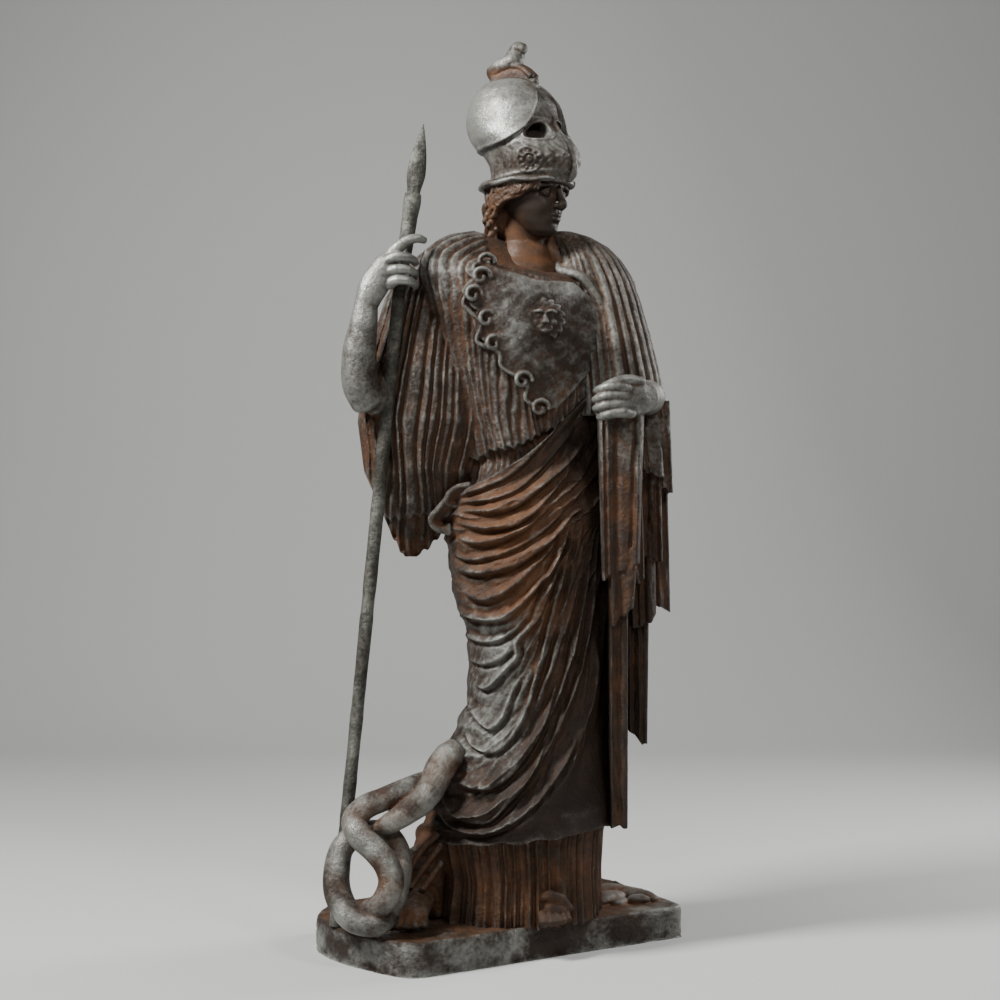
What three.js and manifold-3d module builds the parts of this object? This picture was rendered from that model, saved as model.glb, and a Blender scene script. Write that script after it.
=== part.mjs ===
// A standing Athena with a helmet, a spear and a coiled snake, carved in one block with its plinth.
// Millimetres, +Z up. The plinth's long front edge faces -Y and the spear stands on the -X side.
//
// The figure is drawn in a carving frame: x across its widest outline, y away from the carver and
// z up from the top of the plinth, all in shares of the figure's height. That frame is then turned
// by CARVING_TURN onto the plinth. Angles round the body run from 0, towards the carver, to +90 at
// the figure's left hand.
import * as THREE from 'three';
import { mergeVertices } from 'three/addons/utils/BufferGeometryUtils.js';
import Module from 'manifold-3d';

const wasm = await Module();
wasm.setup();

// Driving dimensions, in millimetres.
const FIGURE_HEIGHT = 2150; // plinth top to the top of the crest
const PLINTH_LENGTH = 870;
const PLINTH_DEPTH = 480;
const PLINTH_HEIGHT = 80;
const PLINTH_CORNER = 0.14; // chamfer at the back, as a share of the length
const SPEAR_RADIUS = 16; // shaft below the hand
const SPEAR_BUTT_RADIUS = 21; // shaft above the hand
const SPEAR_CLEARANCE = 0.5; // round the shaft where the stone holds it
const CARVING_TURN = THREE.MathUtils.degToRad(30);

// The carving is written in units that are millimetres when the figure is 2150 tall.
const UNIT = FIGURE_HEIGHT / 2150;
const SUNK = 6; // how far one carved form runs into the next
const SHORTEST_EDGE = 4.5; // finer edges than this are not carved
const DEGREE = Math.PI / 180;

// Helpers

const V = (x, y, z) => new THREE.Vector3(x, y, z);
const mix = (a, b, t) => a + (b - a) * t;
const clamp = (x, a = 0, b = 1) => Math.min(b, Math.max(a, x));
const smooth = (a, b, x) => {
  const t = clamp((x - a) / (b - a));
  return t * t * (3 - 2 * t);
};

// Reads a table of rows [key, value, value, ...] at a key, with straight runs between rows.
function read(table, key) {
  let i = 1;
  while (i < table.length - 1 && table[i][0] < key) i += 1;
  const [a, b] = [table[i - 1], table[i]];
  const t = clamp((key - a[0]) / (b[0] - a[0]));
  return a.slice(1).map((value, k) => mix(value, b[k + 1], t));
}

function geometryOf(points, faces) {
  const geometry = new THREE.BufferGeometry();
  const numbers = points.flatMap((p) => [p.x, p.y, p.z]);
  geometry.setAttribute('position', new THREE.Float32BufferAttribute(numbers, 3));
  geometry.setIndex(faces.flat());
  return geometry;
}

// Closed skin over rings of equal length, with a fan at each end.
function loft(rings) {
  const n = rings[0].length;
  const points = rings.flat();
  const faces = [];
  for (let i = 0; i < rings.length - 1; i += 1) {
    for (let j = 0; j < n; j += 1) {
      const [a, b] = [i * n + j, i * n + ((j + 1) % n)];
      faces.push([a, b, b + n], [a, b + n, a + n]);
    }
  }
  const centre = (ring) => ring.reduce((s, p) => s.add(p), V(0, 0, 0)).divideScalar(n);
  points.push(centre(rings[0]), centre(rings.at(-1)));
  const [low, high, top] = [points.length - 2, points.length - 1, (rings.length - 1) * n];
  for (let j = 0; j < n; j += 1) {
    faces.push([low, (j + 1) % n, j], [high, top + j, top + ((j + 1) % n)]);
  }
  return geometryOf(points, faces);
}

// Round or oval limb along a smooth curve through [x, y, z, radius, flatness] rows, with rounded ends.
function limb(rows, sides = 8, steps = rows.length * 2, flatSide = V(0, 1, 0)) {
  const curve = new THREE.CatmullRomCurve3(rows.map((r) => V(r[0], r[1], r[2])), false, 'centripetal');
  const sizes = rows.map((r, i) => [i / (rows.length - 1), r[3], r[4] ?? 1]);
  const stations = [0, ...Array.from({ length: steps + 1 }, (_, i) => i / steps), 1];
  const rings = stations.map((t, k) => {
    const end = k === 0 || k === stations.length - 1;
    const [radius, flat] = read(sizes, t);
    const along = curve.getTangent(t);
    const middle = curve.getPoint(t);
    if (end) middle.addScaledVector(along, (k === 0 ? -1 : 1) * radius * 0.55);
    const across = along.clone().cross(flatSide).normalize();
    const thin = across.clone().cross(along).normalize();
    return Array.from({ length: sides }, (_, j) => {
      const a = (j / sides) * 2 * Math.PI;
      const r = radius * (end ? 0.5 : 1);
      return middle.clone().addScaledVector(across, r * Math.cos(a))
        .addScaledVector(thin, r * flat * Math.sin(a));
    });
  });
  return loft(rings);
}

function ball(x, y, z, rx, ry, rz, turn = 0, sides = 12, bands = 8) {
  const geometry = new THREE.SphereGeometry(1, sides, bands);
  geometry.rotateX(Math.PI / 2).scale(rx, ry, rz).rotateZ(turn).translate(x, y, z);
  return geometry;
}

// A closed cloth of some thickness: outer(u, v) and inner(u, v) give its two faces, u and v from 0 to 1.
function cloth(columns, rows, outer, inner) {
  const points = [];
  for (const face of [outer, inner]) {
    for (let i = 0; i <= rows; i += 1) {
      for (let j = 0; j <= columns; j += 1) points.push(face(j / columns, i / rows));
    }
  }
  const w = columns + 1;
  const back = w * (rows + 1);
  const faces = [];
  const quad = (a, b, c, d) => faces.push([a, b, c], [a, c, d]);
  for (let i = 0; i < rows; i += 1) {
    for (let j = 0; j < columns; j += 1) {
      const a = i * w + j;
      quad(a, a + 1, a + 1 + w, a + w);
      quad(back + a, back + a + w, back + a + 1 + w, back + a + 1);
    }
    const [l, r] = [i * w, i * w + columns];
    quad(l, l + w, back + l + w, back + l);
    quad(r, back + r, back + r + w, r + w);
  }
  for (let j = 0; j < columns; j += 1) {
    const t = rows * w + j;
    quad(j, back + j, back + j + 1, j + 1);
    quad(t, t + 1, back + t + 1, back + t);
  }
  return geometryOf(points, faces);
}

function solidOf(geometry) {
  const bare = geometry.clone();
  bare.deleteAttribute('normal');
  bare.deleteAttribute('uv');
  const merged = mergeVertices(bare, 1e-4);
  const mesh = new wasm.Mesh({
    numProp: 3,
    vertProperties: new Float32Array(merged.attributes.position.array),
    triVerts: new Uint32Array(merged.index.array),
  });
  const solid = new wasm.Manifold(mesh);
  return solid.volume() < 0 ? solidOf(merged.clone().setIndex([...merged.index.array].reverse())) : solid;
}

function geometryFrom(solid) {
  const mesh = solid.getMesh();
  const geometry = new THREE.BufferGeometry();
  geometry.setAttribute('position', new THREE.BufferAttribute(new Float32Array(mesh.vertProperties), 3));
  geometry.setIndex(new THREE.BufferAttribute(new Uint32Array(mesh.triVerts), 1));
  return geometry;
}

// The outermost closed skin of a geometry, without the small pockets left between joined forms.
function outerSkin(geometry) {
  const index = geometry.index.array;
  const place = geometry.attributes.position;
  const owner = Array.from({ length: place.count }, (_, i) => i);
  const root = (i) => {
    let r = i;
    while (owner[r] !== r) r = owner[r] = owner[owner[r]];
    return r;
  };
  for (let i = 0; i < index.length; i += 3) {
    owner[root(index[i + 1])] = root(index[i]);
    owner[root(index[i + 2])] = root(index[i]);
  }
  const volumes = new Map();
  const [a, b, c] = [V(0, 0, 0), V(0, 0, 0), V(0, 0, 0)];
  for (let i = 0; i < index.length; i += 3) {
    [a, b, c].forEach((corner, k) => corner.fromBufferAttribute(place, index[i + k]));
    const skin = root(index[i]);
    volumes.set(skin, (volumes.get(skin) ?? 0) + a.dot(b.cross(c)));
  }
  const largest = [...volumes].sort((p, q) => q[1] - p[1])[0][0];
  const kept = [];
  for (let i = 0; i < index.length; i += 3) {
    if (root(index[i]) === largest) kept.push(index[i], index[i + 1], index[i + 2]);
  }
  const skin = new THREE.BufferGeometry();
  skin.setAttribute('position', place.clone());
  skin.setIndex(kept);
  return mergeVertices(skin, 1e-5);
}

// Closes up the edges shorter than some length that joining leaves, and keeps the skin closed.
function withoutShortEdges(geometry, shortest) {
  const place = geometry.attributes.position;
  const index = geometry.index.array;
  const points = Array.from({ length: place.count }, (_, i) => V(0, 0, 0).fromBufferAttribute(place, i));
  const faces = Array.from({ length: index.length / 3 },
    (_, f) => [index[3 * f], index[3 * f + 1], index[3 * f + 2]]);
  const around = points.map(() => new Set());
  faces.forEach((face, f) => face.forEach((i) => around[i].add(f)));
  const near = (i) => new Set([...around[i]].flatMap((f) => faces[f]).filter((k) => k !== i));
  const facing = (corners) => {
    const [a, b, c] = corners.map((i) => points[i]);
    return b.clone().sub(a).cross(c.clone().sub(a)).normalize();
  };
  const edges = faces.flatMap((face) => face.map((a, k) => [a, face[(k + 1) % 3]]))
    .filter(([a, b]) => a < b);
  const span = ([a, b]) => points[a].distanceTo(points[b]);
  for (const edge of edges.filter((pair) => span(pair) < shortest).sort((p, q) => span(p) - span(q))) {
    const [kept, lost] = points[edge[0]].z < points[edge[1]].z ? edge : [edge[1], edge[0]];
    const ends = near(kept);
    const shared = [...near(lost)].filter((i) => ends.has(i));
    const moving = [...around[lost]].filter((f) => !faces[f].includes(kept));
    const swapped = (f) => faces[f].map((i) => (i === lost ? kept : i));
    const folds = moving.some((f) => facing(faces[f]).dot(facing(swapped(f))) < 0.3);
    if (ends.has(lost) && shared.length === 2 && !folds) {
      const closing = [...around[lost]].filter((k) => !moving.includes(k));
      closing.forEach((f) => faces[f].forEach((i) => around[i].delete(f)));
      for (const f of moving) {
        faces[f] = swapped(f);
        around[kept].add(f);
      }
      around[lost].clear();
    }
  }
  const kept = faces.filter((face, f) => around[face[0]].has(f));
  return geometryOf(points, kept);
}

// The draped body

// Height, left edge, right edge, depth of the middle, and depth as a share of width.
const BODY = [
  [-SUNK, -150, 250, 80, 0.9], [100, -147, 250, 80, 0.9], [190, -165, 255, 80, 0.9],
  [270, -165, 268, 80, 0.9],
  [370, -130, 270, 80, 0.86], [420, -110, 268, 80, 0.85], [520, -68, 264, 80, 0.85],
  [620, -62, 260, 80, 0.85],
  [700, -70, 260, 80, 0.85], [775, -98, 264, 80, 0.85], [870, -112, 272, 80, 0.84],
  [970, -125, 285, 82, 0.8], [1020, -122, 290, 84, 0.78],
  [1070, -95, 284, 86, 0.74], [1120, -87, 275, 88, 0.72], [1220, -112, 268, 90, 0.7],
  [1420, -150, 290, 90, 0.66],
  [1520, -175, 310, 90, 0.58], [1570, -187, 316, 94, 0.5], [1600, -186, 312, 98, 0.42],
  [1625, -178, 300, 102, 0.34],
  [1650, -150, 282, 106, 0.28], [1668, -118, 252, 108, 0.26], [1682, -60, 200, 108, 0.28],
];

const NECKLINE_DROP = 68; // how much lower the neckline is in front than over the shoulders

// A point of the body's surface at an angle in degrees and a height, moved outwards by some depth.
function onBody(angle, height, out = 0) {
  const [left, right, middle, share] = read(BODY, height);
  const wide = (right - left) / 2 / Math.hypot(Math.cos(CARVING_TURN), share * Math.sin(CARVING_TURN));
  const turned = angle * DEGREE - CARVING_TURN;
  const r = 1 / Math.hypot(Math.cos(turned) / (share * wide), Math.sin(turned) / wide) + out;
  const low = NECKLINE_DROP * smooth(1545, 1682, height) * Math.max(0, Math.cos(turned));
  return V((left + right) / 2 + r * Math.sin(angle * DEGREE), middle - r * Math.cos(angle * DEGREE),
    height - low);
}

// The cloak's folds, from its rolled upper edge to its hem. Each hangs from where it is gathered at
// the left hip to a low point over the right leg, and climbs again behind the right hip:
// low angle, low height, gathered angle, gathered height, steepness, height at the back.
const SWAGS = [
  [-80, 995, 65, 1305, 1.17, 1120], [-40, 978, 71, 1217, 1.28, 1070], [-35, 950, 60, 1143, 1.67, 1020],
  [-45, 915, 56, 1093, 1.58, 975], [-41, 847, 48, 1003, 1.37, 915], [-40, 788, 40, 990, 1.8, 850],
  [-40, 725, 32, 984, 2.2, 780], [-44, 640, 38, 978, 1.8, 700], [-46, 563, 44, 972, 1.53, 620],
  [-38, 465, 48, 947, 1.3, 530], [-35, 405, 50, 923, 1.3, 450], [-33, 333, 55, 913, 1.55, 380],
  [-33, 266, 61, 873, 1.7, 310], [-38, 226, 73, 774, 2.3, 255], [-60, 192, 90, 232, 1, 205],
];
const CROWDED = 11; // the least height between two swags where they are gathered

// Heights of all swags at an angle from -270 to 90 degrees.
function swagHeights(angle) {
  const heights = [];
  for (const [low, lowHeight, gathered, high, steep, back] of SWAGS) {
    const rise = angle > low
      ? (high - lowHeight) * ((angle - low) / (gathered - low)) ** steep
      : (back - lowHeight) * smooth(low, -200, angle);
    heights.push(Math.min(lowHeight + rise, (heights.at(-1) ?? 1420) - CROWDED));
  }
  return heights;
}

const HIMATION_OUT = 16; // the cloak's thickness over the tunic
const FOLD_DEPTH = 15;
const PLEAT_DEPTH = 9;
const OVERFOLD_OUT = 14;

// Lower edge of the tunic's overfold, which hangs from the shoulders.
const overfoldEdge = (angle) => 1128 + 1.5 * angle - 70 * smooth(-40, -100, angle);

const BACK_COLUMNS = 8;
const FRONT_COLUMNS = 26;
const FRONT_FROM = -102; // degrees, a little behind the right hip
const COLUMNS = [
  ...Array.from({ length: BACK_COLUMNS }, (_, j) => mix(-270, FRONT_FROM, j / BACK_COLUMNS)),
  ...Array.from({ length: FRONT_COLUMNS }, (_, j) => mix(FRONT_FROM, 90, j / FRONT_COLUMNS)),
];

// The cloak lies tight over the bent right leg and down the back, and its folds are shallow there.
function tightness(angle, height) {
  const round = smooth(20, -20, angle) * smooth(-150, -100, angle);
  const overLeg = 0.75 * round * smooth(230, 330, height) * smooth(960, 860, height);
  return (1 - overLeg) * (1 - 0.6 * smooth(-90, -130, angle));
}

function bodyRings() {
  const profiles = COLUMNS.map((angle, j) => {
    const swags = swagHeights(angle);
    const hem = swags.at(-1);
    const roll = swags[0];
    const pleat = j % 2 ? PLEAT_DEPTH : -PLEAT_DEPTH;
    const profile = [];
    for (const share of [0, 0.96]) profile.push([mix(-SUNK, hem, share), pleat * (1.2 - 0.4 * share)]);
    for (let i = SWAGS.length - 1; i >= 0; i -= 1) {
      const room = i ? swags[i - 1] - swags[i] : 30;
      const depth = clamp(room * 0.22, 2, FOLD_DEPTH) * tightness(angle, swags[i]);
      profile.push([swags[i], HIMATION_OUT + depth]);
      if (i) profile.push([swags[i] + room * 0.55, HIMATION_OUT - depth * 0.8]);
    }
    const edge = Math.max(overfoldEdge(angle), roll + 24);
    profile.push([roll + 12, pleat], [edge - 4, pleat], [edge, pleat + OVERFOLD_OUT]);
    for (const share of [0.35, 0.75]) {
      profile.push([mix(edge, 1600, share), pleat * (1 - 0.4 * share) + OVERFOLD_OUT * (1 - share * 0.6)]);
    }
    profile.push([1610, pleat * 0.4], [1655, 0], [1682, 0]);
    return profile.map(([height, out]) => onBody(angle, height, out));
  });
  return profiles[0].map((_, i) => profiles.map((profile) => profile[i]));
}

// Cloth over the left shoulder and arm, its folds running down from the neck to the hand.
const SHOULDER_CLOTH_EDGE = [[1210, 77], [1315, 69], [1414, 66], [1509, 58], [1593, 46], [1640, 46],
  [1676, 60]];

const SHOULDER_PLEATS = 14;

function shoulderCloth() {
  const place = (out) => (u, v) => {
    const height = mix(1215, 1676, v);
    const angle = mix(read(SHOULDER_CLOTH_EDGE, height)[0], 200, u);
    const fold = (Math.round(u * SHOULDER_PLEATS) % 2 ? 9 : -9) * (1 - v * 0.5);
    return onBody(angle, height, out ? out + fold + 14 * smooth(0, 0.3, u) * (1 - v) : -20);
  };
  return cloth(SHOULDER_PLEATS, 5, place(22), place(0));
}

// Goatskin over the chest, with a scalloped edge.
function aegis() {
  const edge = [[1236, 6, 12], [1300, -3, 30], [1379, -21, 50], [1400, -30, 52], [1521, -38, 52],
    [1600, -50, 48], [1640, -56, 44]];
  const place = (out) => (u, v) => {
    const height = mix(1238, 1640, v);
    const [from, to] = read(edge, height);
    return onBody(mix(from, to + 8, u), height, out);
  };
  return cloth(4, 5, place(24), place(-20));
}

// A hanging panel with pleats. Each end row is [height, left, right, depth].
function panel(top, low, pleats, fold, thickness, drop = 0, rows = 3) {
  const place = (back) => (u, v) => {
    const zigzag = Math.round(u * pleats * 2) % 2 ? 1 : -1;
    const height = mix(low[0] + drop * (u - 0.5) + (v ? 0 : zigzag * fold * 0.8), top[0], v);
    return V(mix(mix(low[1], low[2], u), mix(top[1], top[2], u), v),
      mix(low[3], top[3], v) - zigzag * fold + back, height);
  };
  return cloth(pleats * 2, rows, place(0), place(thickness));
}

// Cloth that hangs from the right arm: height, left edge, right edge, depth of middle, half depth.
const SLEEVE = [
  [880, -236, -205, 50, 12], [920, -262, -158, 45, 38], [1010, -300, -90, 40, 80],
  [1090, -336, -20, 40, 104],
  [1215, -352, 20, 40, 112], [1330, -335, 20, 44, 108], [1430, -312, 20, 55, 100], [1520, -286, 20, 66, 92],
  [1590, -246, 10, 76, 80], [1635, -200, 0, 86, 62], [1662, -150, -20, 92, 36],
];
const SLEEVE_FACES = 20;

function sleeve() {
  const faces = Array.from({ length: SLEEVE_FACES }, (_, j) => j);
  return loft(SLEEVE.map(([height, left, right, middle, half]) => faces.map((j) => {
    const a = ((j + 0.5) / SLEEVE_FACES) * 2 * Math.PI;
    const fold = 1 + (j % 2 ? 0.08 : -0.08) * smooth(1680, 1550, height);
    return V((left + right) / 2 + (right - left) / 2 * fold * Math.sin(a),
      middle - half * fold * Math.cos(a), height);
  })));
}

// Head and helmet, drawn facing -y round their own axis.

const HEAD = { x: 62, y: 56, z: 1700, turn: 52 * DEGREE, nod: 7 * DEGREE };

const placeHelmet = (geometry) => geometry.rotateZ(HEAD.turn).translate(HEAD.x, HEAD.y, HEAD.z);
const placeHead = (geometry) => placeHelmet(geometry.rotateX(HEAD.nod));

// Rings of an egg-like form: height, front, back and half width. Every ring may follow the edge's height.
function egg(rows, faces, swell, edge = () => rows[0][0]) {
  return loft(rows.map(([height]) => Array.from({ length: faces }, (_, j) => {
    const a = (j / faces) * 2 * Math.PI;
    const z = Math.max(height, mix(edge(a), rows.at(-1)[0],
      (height - rows[0][0]) / (rows.at(-1)[0] - rows[0][0])));
    const [front, back, side] = read(rows, z);
    const out = swell(a, z);
    const deep = (front + back) / 2 + out;
    return V((side + out) * Math.sin(a), (back - front) / 2 - deep * Math.cos(a), z);
  })));
}

const FACE = [
  [-24, 78, -28, 22], [-14, 90, 0, 34], [8, 94, 30, 50], [36, 95, 60, 63], [64, 92, 84, 71],
  [92, 92, 92, 75],
  [130, 94, 98, 77], [180, 70, 84, 60],
];

function face() {
  const nose = limb([[0, -88, 92, 9], [0, -102, 70, 11], [0, -110, 52, 14]], 5, 2);
  const lips = limb([[-24, -84, 22, 5], [0, -98, 24, 9], [24, -84, 22, 5]], 5, 2);
  return [egg(FACE, 12, () => 0), nose, lips].map(placeHead);
}

// Height, front, back and half width of the helmet round the head's axis. It is worn pushed back.
const HELMET = [
  [92, 134, 112, 96], [106, 134, 96, 90], [124, 142, 88, 94], [150, 154, 92, 104], [183, 144, 114, 110],
  [211, 124, 137, 114], [234, 101, 148, 112], [262, 91, 154, 110], [296, 80, 149, 102], [332, 49, 138, 82],
  [358, 16, 112, 52], [375, -30, 68, 10],
];
const CROWN_STEP = 5; // how far the crown stands out over the mask below it
const HELMET_FACES = 16;

// Lower edge of the helmet's crown at an angle from the face. It rises to a point over the brow.
const crownEdge = (a) => 188 + 130 * (0.5 + 0.5 * Math.cos(a)) ** 2.4;

function helmet() {
  const under = (a, z) => (z > crownEdge(a) + CROWN_STEP ? -5 * CROWN_STEP : -CROWN_STEP / 2);
  const mask = egg(HELMET.filter(([height]) => height < 340), HELMET_FACES, under);
  const crown = egg(HELMET.filter(([height]) => height > 180), HELMET_FACES, () => CROWN_STEP, crownEdge);
  const ridge = limb([[0, -92, 262, 8], [0, -122, 214, 12], [0, -154, 164, 13], [0, -154, 120, 12],
    [0, -136, 96, 9]], 5, 4);
  const rim = limb(Array.from({ length: 9 }, (_, i) => {
    const a = (1 - i / 4) * 0.86 * Math.PI + Math.PI;
    return [98 * Math.sin(a), -8 - 124 * Math.cos(a), 97, 6 - 3 * Math.cos(a)];
  }), 4, 8, V(0, 0, 1));
  return [mask, crown, ridge, rim].map(placeHelmet);
}

function eyeHoles() {
  return [-1, 1].map((side) => placeHelmet(ball(side * 40, -104, 216, 28, 42, 16, side * 0.4, 8, 4)));
}

// The crest's support on the crown, a small crouching creature with a raised neck.
function crest() {
  return [
    limb([[0, -30, 350, 14], [0, 24, 378, 22], [0, 86, 372, 26]], 6, 2, V(1, 0, 0)),
    limb([[0, 94, 400, 17], [0, 60, 408, 23], [0, 30, 412, 21], [0, 24, 436, 14], [0, 20, 452, 11]], 6,
      5, V(1, 0, 0)),
  ].map(placeHelmet);
}

// Wavy hair that shows below the helmet's rim, gathered behind the neck, and a lock on each side.
function hair() {
  const forms = [];
  for (const side of [-1, 1]) {
    forms.push(limb([[side * 30, -92, 86, 13], [side * 70, -60, 80, 20], [side * 82, -4, 66, 24],
      [side * 72, 52, 44, 29],
      [side * 40, 82, 20, 32]], 6, 5));
    forms.push(limb([[side * 44, 74, 34, 30], [side * 52, 66, -20, 22], [side * 66, 48, -76, 13]], 5, 2));
  }
  forms.push(ball(0, 60, 26, 62, 52, 74, 0, 8, 5));
  return forms.map(placeHead);
}

const neck = () => limb([[62, 74, 1585, 92], [62, 76, 1665, 57], [66, 62, 1730, 54],
  [68, 60, 1780, 56]], 12, 3, V(1, 0, 0));

// Arms and hands

const FINGER_RADIUS = 10;

function rightArm() {
  const forms = [
    limb([[-240, 10, 1330, 48], [-280, -20, 1286, 50], [-314, -54, 1262, 46]], 8, 2),
    limb([[-318, -56, 1262, 44], [-336, -66, 1300, 45], [-338, -76, 1370, 42], [-326, -78, 1440, 33],
      [-318, -76, 1500, 27, 0.8]], 8, 5),
    limb([[-322, -76, 1486, 27, 0.85], [-296, -72, 1540, 38, 0.62], [-266, -58, 1588, 34, 0.6]], 8, 3),
    limb([[-268, -66, 1588, 13], [-240, -68, 1634, 12], [-212, -62, 1644, 10], [-184, -48, 1642, 8]], 5, 3),
  ];
  for (const [i, height] of [1606, 1576, 1548].entries()) {
    forms.push(limb([[-280 + 4 * i, -80, height - 4, FINGER_RADIUS + 2],
      [-244, -84, height, FINGER_RADIUS + 1],
      [-210, -66, height - 4, FINGER_RADIUS], [-212, -40, height - 6, FINGER_RADIUS - 1]], 5, 2));
  }
  return forms;
}

function leftHand() {
  const forms = [
    limb([[360, 0, 1262, 44], [358, -50, 1270, 40], [346, -98, 1270, 36, 0.8]], 8, 2),
    limb([[356, -94, 1270, 36, 0.8], [320, -122, 1264, 44, 0.5], [286, -134, 1262, 40, 0.5]], 8, 3,
      V(0.3, 1, 0)),
    limb([[330, -126, 1298, 13], [290, -146, 1300, 12], [252, -150, 1292, 9]], 5, 2),
  ];
  for (let i = 0; i < 4; i += 1) {
    const height = 1286 - 20 * i;
    forms.push(limb([[296, -140, height - 4, FINGER_RADIUS + 1], [256, -158, height, FINGER_RADIUS + 1],
      [226, -148, height - 4, FINGER_RADIUS], [220, -126, height - 6, FINGER_RADIUS - 2]], 5, 2));
  }
  return forms;
}

// Feet under the tunic's hem, with toes.
function foot(x, y, turn, length, width) {
  const forms = [
    limb([[0, 60, 62, 44], [0, 10, 52, 42], [0, -45, 34, 40, 0.8], [0, -length + 20, 20, 37, 0.6]], 8,
      3, V(0, 0, 1)),
  ];
  for (let i = 0; i < 5; i += 1) {
    const across = -34 + 17 * i;
    const reach = length + 14 - 2.2 * (i - 1) ** 2;
    forms.push(limb([[across * 0.9, -length + 24, 22, 13],
      [across, -reach, 13, 11 + (i === 0 ? 3 : 0)]], 4, 1));
  }
  return forms.map((form) => form.scale(width, 1, 1).rotateZ(turn).translate(x, y, 0));
}

// The snake: a coil on the plinth, a loop above it and a neck that leans on the cloak.
const SNAKE_LOOP = [
  [-255, -150, 40, 20], [-290, -205, 32, 25], [-345, -192, 44, 28], [-382, -160, 92, 28],
  [-388, -142, 142, 27],
  [-372, -128, 198, 26], [-325, -100, 226, 25], [-272, -100, 222, 25], [-240, -115, 180, 25],
  [-240, -140, 110, 25],
  [-262, -160, 50, 25],
];
const SNAKE_BODY = [
  [-306, -192, 60, 24], [-272, -204, 84, 27], [-254, -196, 128, 28], [-264, -190, 166, 28],
  [-292, -182, 200, 28],
  [-330, -168, 232, 28], [-344, -146, 262, 28], [-322, -132, 290, 27], [-276, -114, 308, 26],
  [-226, -92, 326, 26],
  [-180, -50, 336, 26], [-140, 0, 330, 26],
];
const SNAKE_NECK = [
  [-292, -142, 246, 12], [-262, -146, 254, 20], [-222, -140, 276, 23], [-186, -124, 302, 26],
  [-162, -104, 336, 30],
  [-144, -84, 374, 32], [-122, -62, 402, 28], [-104, -44, 420, 18],
];

const snake = () => [limb(SNAKE_LOOP, 7, 14), limb(SNAKE_BODY, 7, 15), limb(SNAKE_NECK, 7, 7)];

// Snakes' bodies curled along the aegis' edge.
const CURLS = [[-34, 1528], [-26, 1450], [-23, 1392], [-6, 1305], [6, 1240]];

function curls() {
  return CURLS.map(([angle, height]) => {
    const turns = Array.from({ length: 6 }, (_, i) => {
      const a = i * 1.1;
      const r = 22 - 2.6 * i;
      const middle = onBody(angle, height, 26);
      return [middle.x + r * Math.cos(a), middle.y + r * Math.cos(a) * 0.2, middle.z + r * Math.sin(a), 7];
    });
    return limb(turns, 4, 5);
  });
}

// Plinth: long front edge, slanted left end and chamfered back corners.
function plinth(middleX, middleY) {
  const [half, deep, cut] = [PLINTH_LENGTH / 2, PLINTH_DEPTH / 2, PLINTH_LENGTH * PLINTH_CORNER];
  const outline = new THREE.Shape();
  outline.moveTo(-half + cut, -deep);
  outline.lineTo(half - cut * 0.2, -deep);
  outline.quadraticCurveTo(half - cut * 0.02, -deep, half, -deep + cut * 0.25);
  outline.lineTo(half, deep - cut * 1.3);
  outline.quadraticCurveTo(half - cut * 0.2, deep - cut * 0.6, half - cut, deep);
  outline.lineTo(-half + cut, deep);
  outline.quadraticCurveTo(-half + cut * 0.1, deep - cut * 0.5, -half, deep - cut * 1.4);
  outline.quadraticCurveTo(-half - cut * 0.02, -deep + cut * 1.6, -half + cut * 0.5, -deep + cut * 0.5);
  outline.quadraticCurveTo(-half + cut * 0.7, -deep + cut * 0.05, -half + cut, -deep);
  return new THREE.ExtrudeGeometry(outline, { depth: PLINTH_HEIGHT, bevelEnabled: false, curveSegments: 4 })
    .translate(middleX, middleY, -PLINTH_HEIGHT);
}

// Places along the spear: x, y, z. Its shaft leans a little and passes through the right hand.
const SPEAR_FOOT = V(-393, -92, 1);
const SPEAR_HAND = V(-243, -40, 1540);
const SPEAR_TOP = V(-186, -22, 1936);
const BLADE_LENGTH = 175;
const BLADE_WIDTH = 27;

function spearSpine(extra) {
  const s = SPEAR_RADIUS / UNIT + extra;
  const b = SPEAR_BUTT_RADIUS / UNIT + extra;
  const top = SPEAR_TOP;
  const upper = top.clone().sub(SPEAR_HAND).normalize();
  const at = (back) => top.clone().addScaledVector(upper, -back);
  const lower = (t) => SPEAR_FOOT.clone().lerp(SPEAR_HAND, t);
  return [
    [lower(0), s, s], [lower(0.5), s, s], [lower(0.97), s * 1.1, s * 1.1], [SPEAR_HAND, b, b],
    [at(BLADE_LENGTH + 40), b, b], [at(BLADE_LENGTH), b * 0.8, b * 0.8],
    [at(BLADE_LENGTH - 45), BLADE_WIDTH + extra, b * 0.7],
    [at(BLADE_LENGTH * 0.35), BLADE_WIDTH * 0.72 + extra, b * 0.5], [at(0), 3 + extra, 3 + extra],
  ];
}

function spear(extra = 0) {
  const rings = spearSpine(extra).map(([middle, wide, deep]) => Array.from({ length: 10 }, (_, j) => {
    const a = (j / 10) * 2 * Math.PI;
    return V(middle.x + wide * Math.sin(a), middle.y - deep * Math.cos(a), middle.z);
  }));
  return loft(rings);
}

// Assembly

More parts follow.
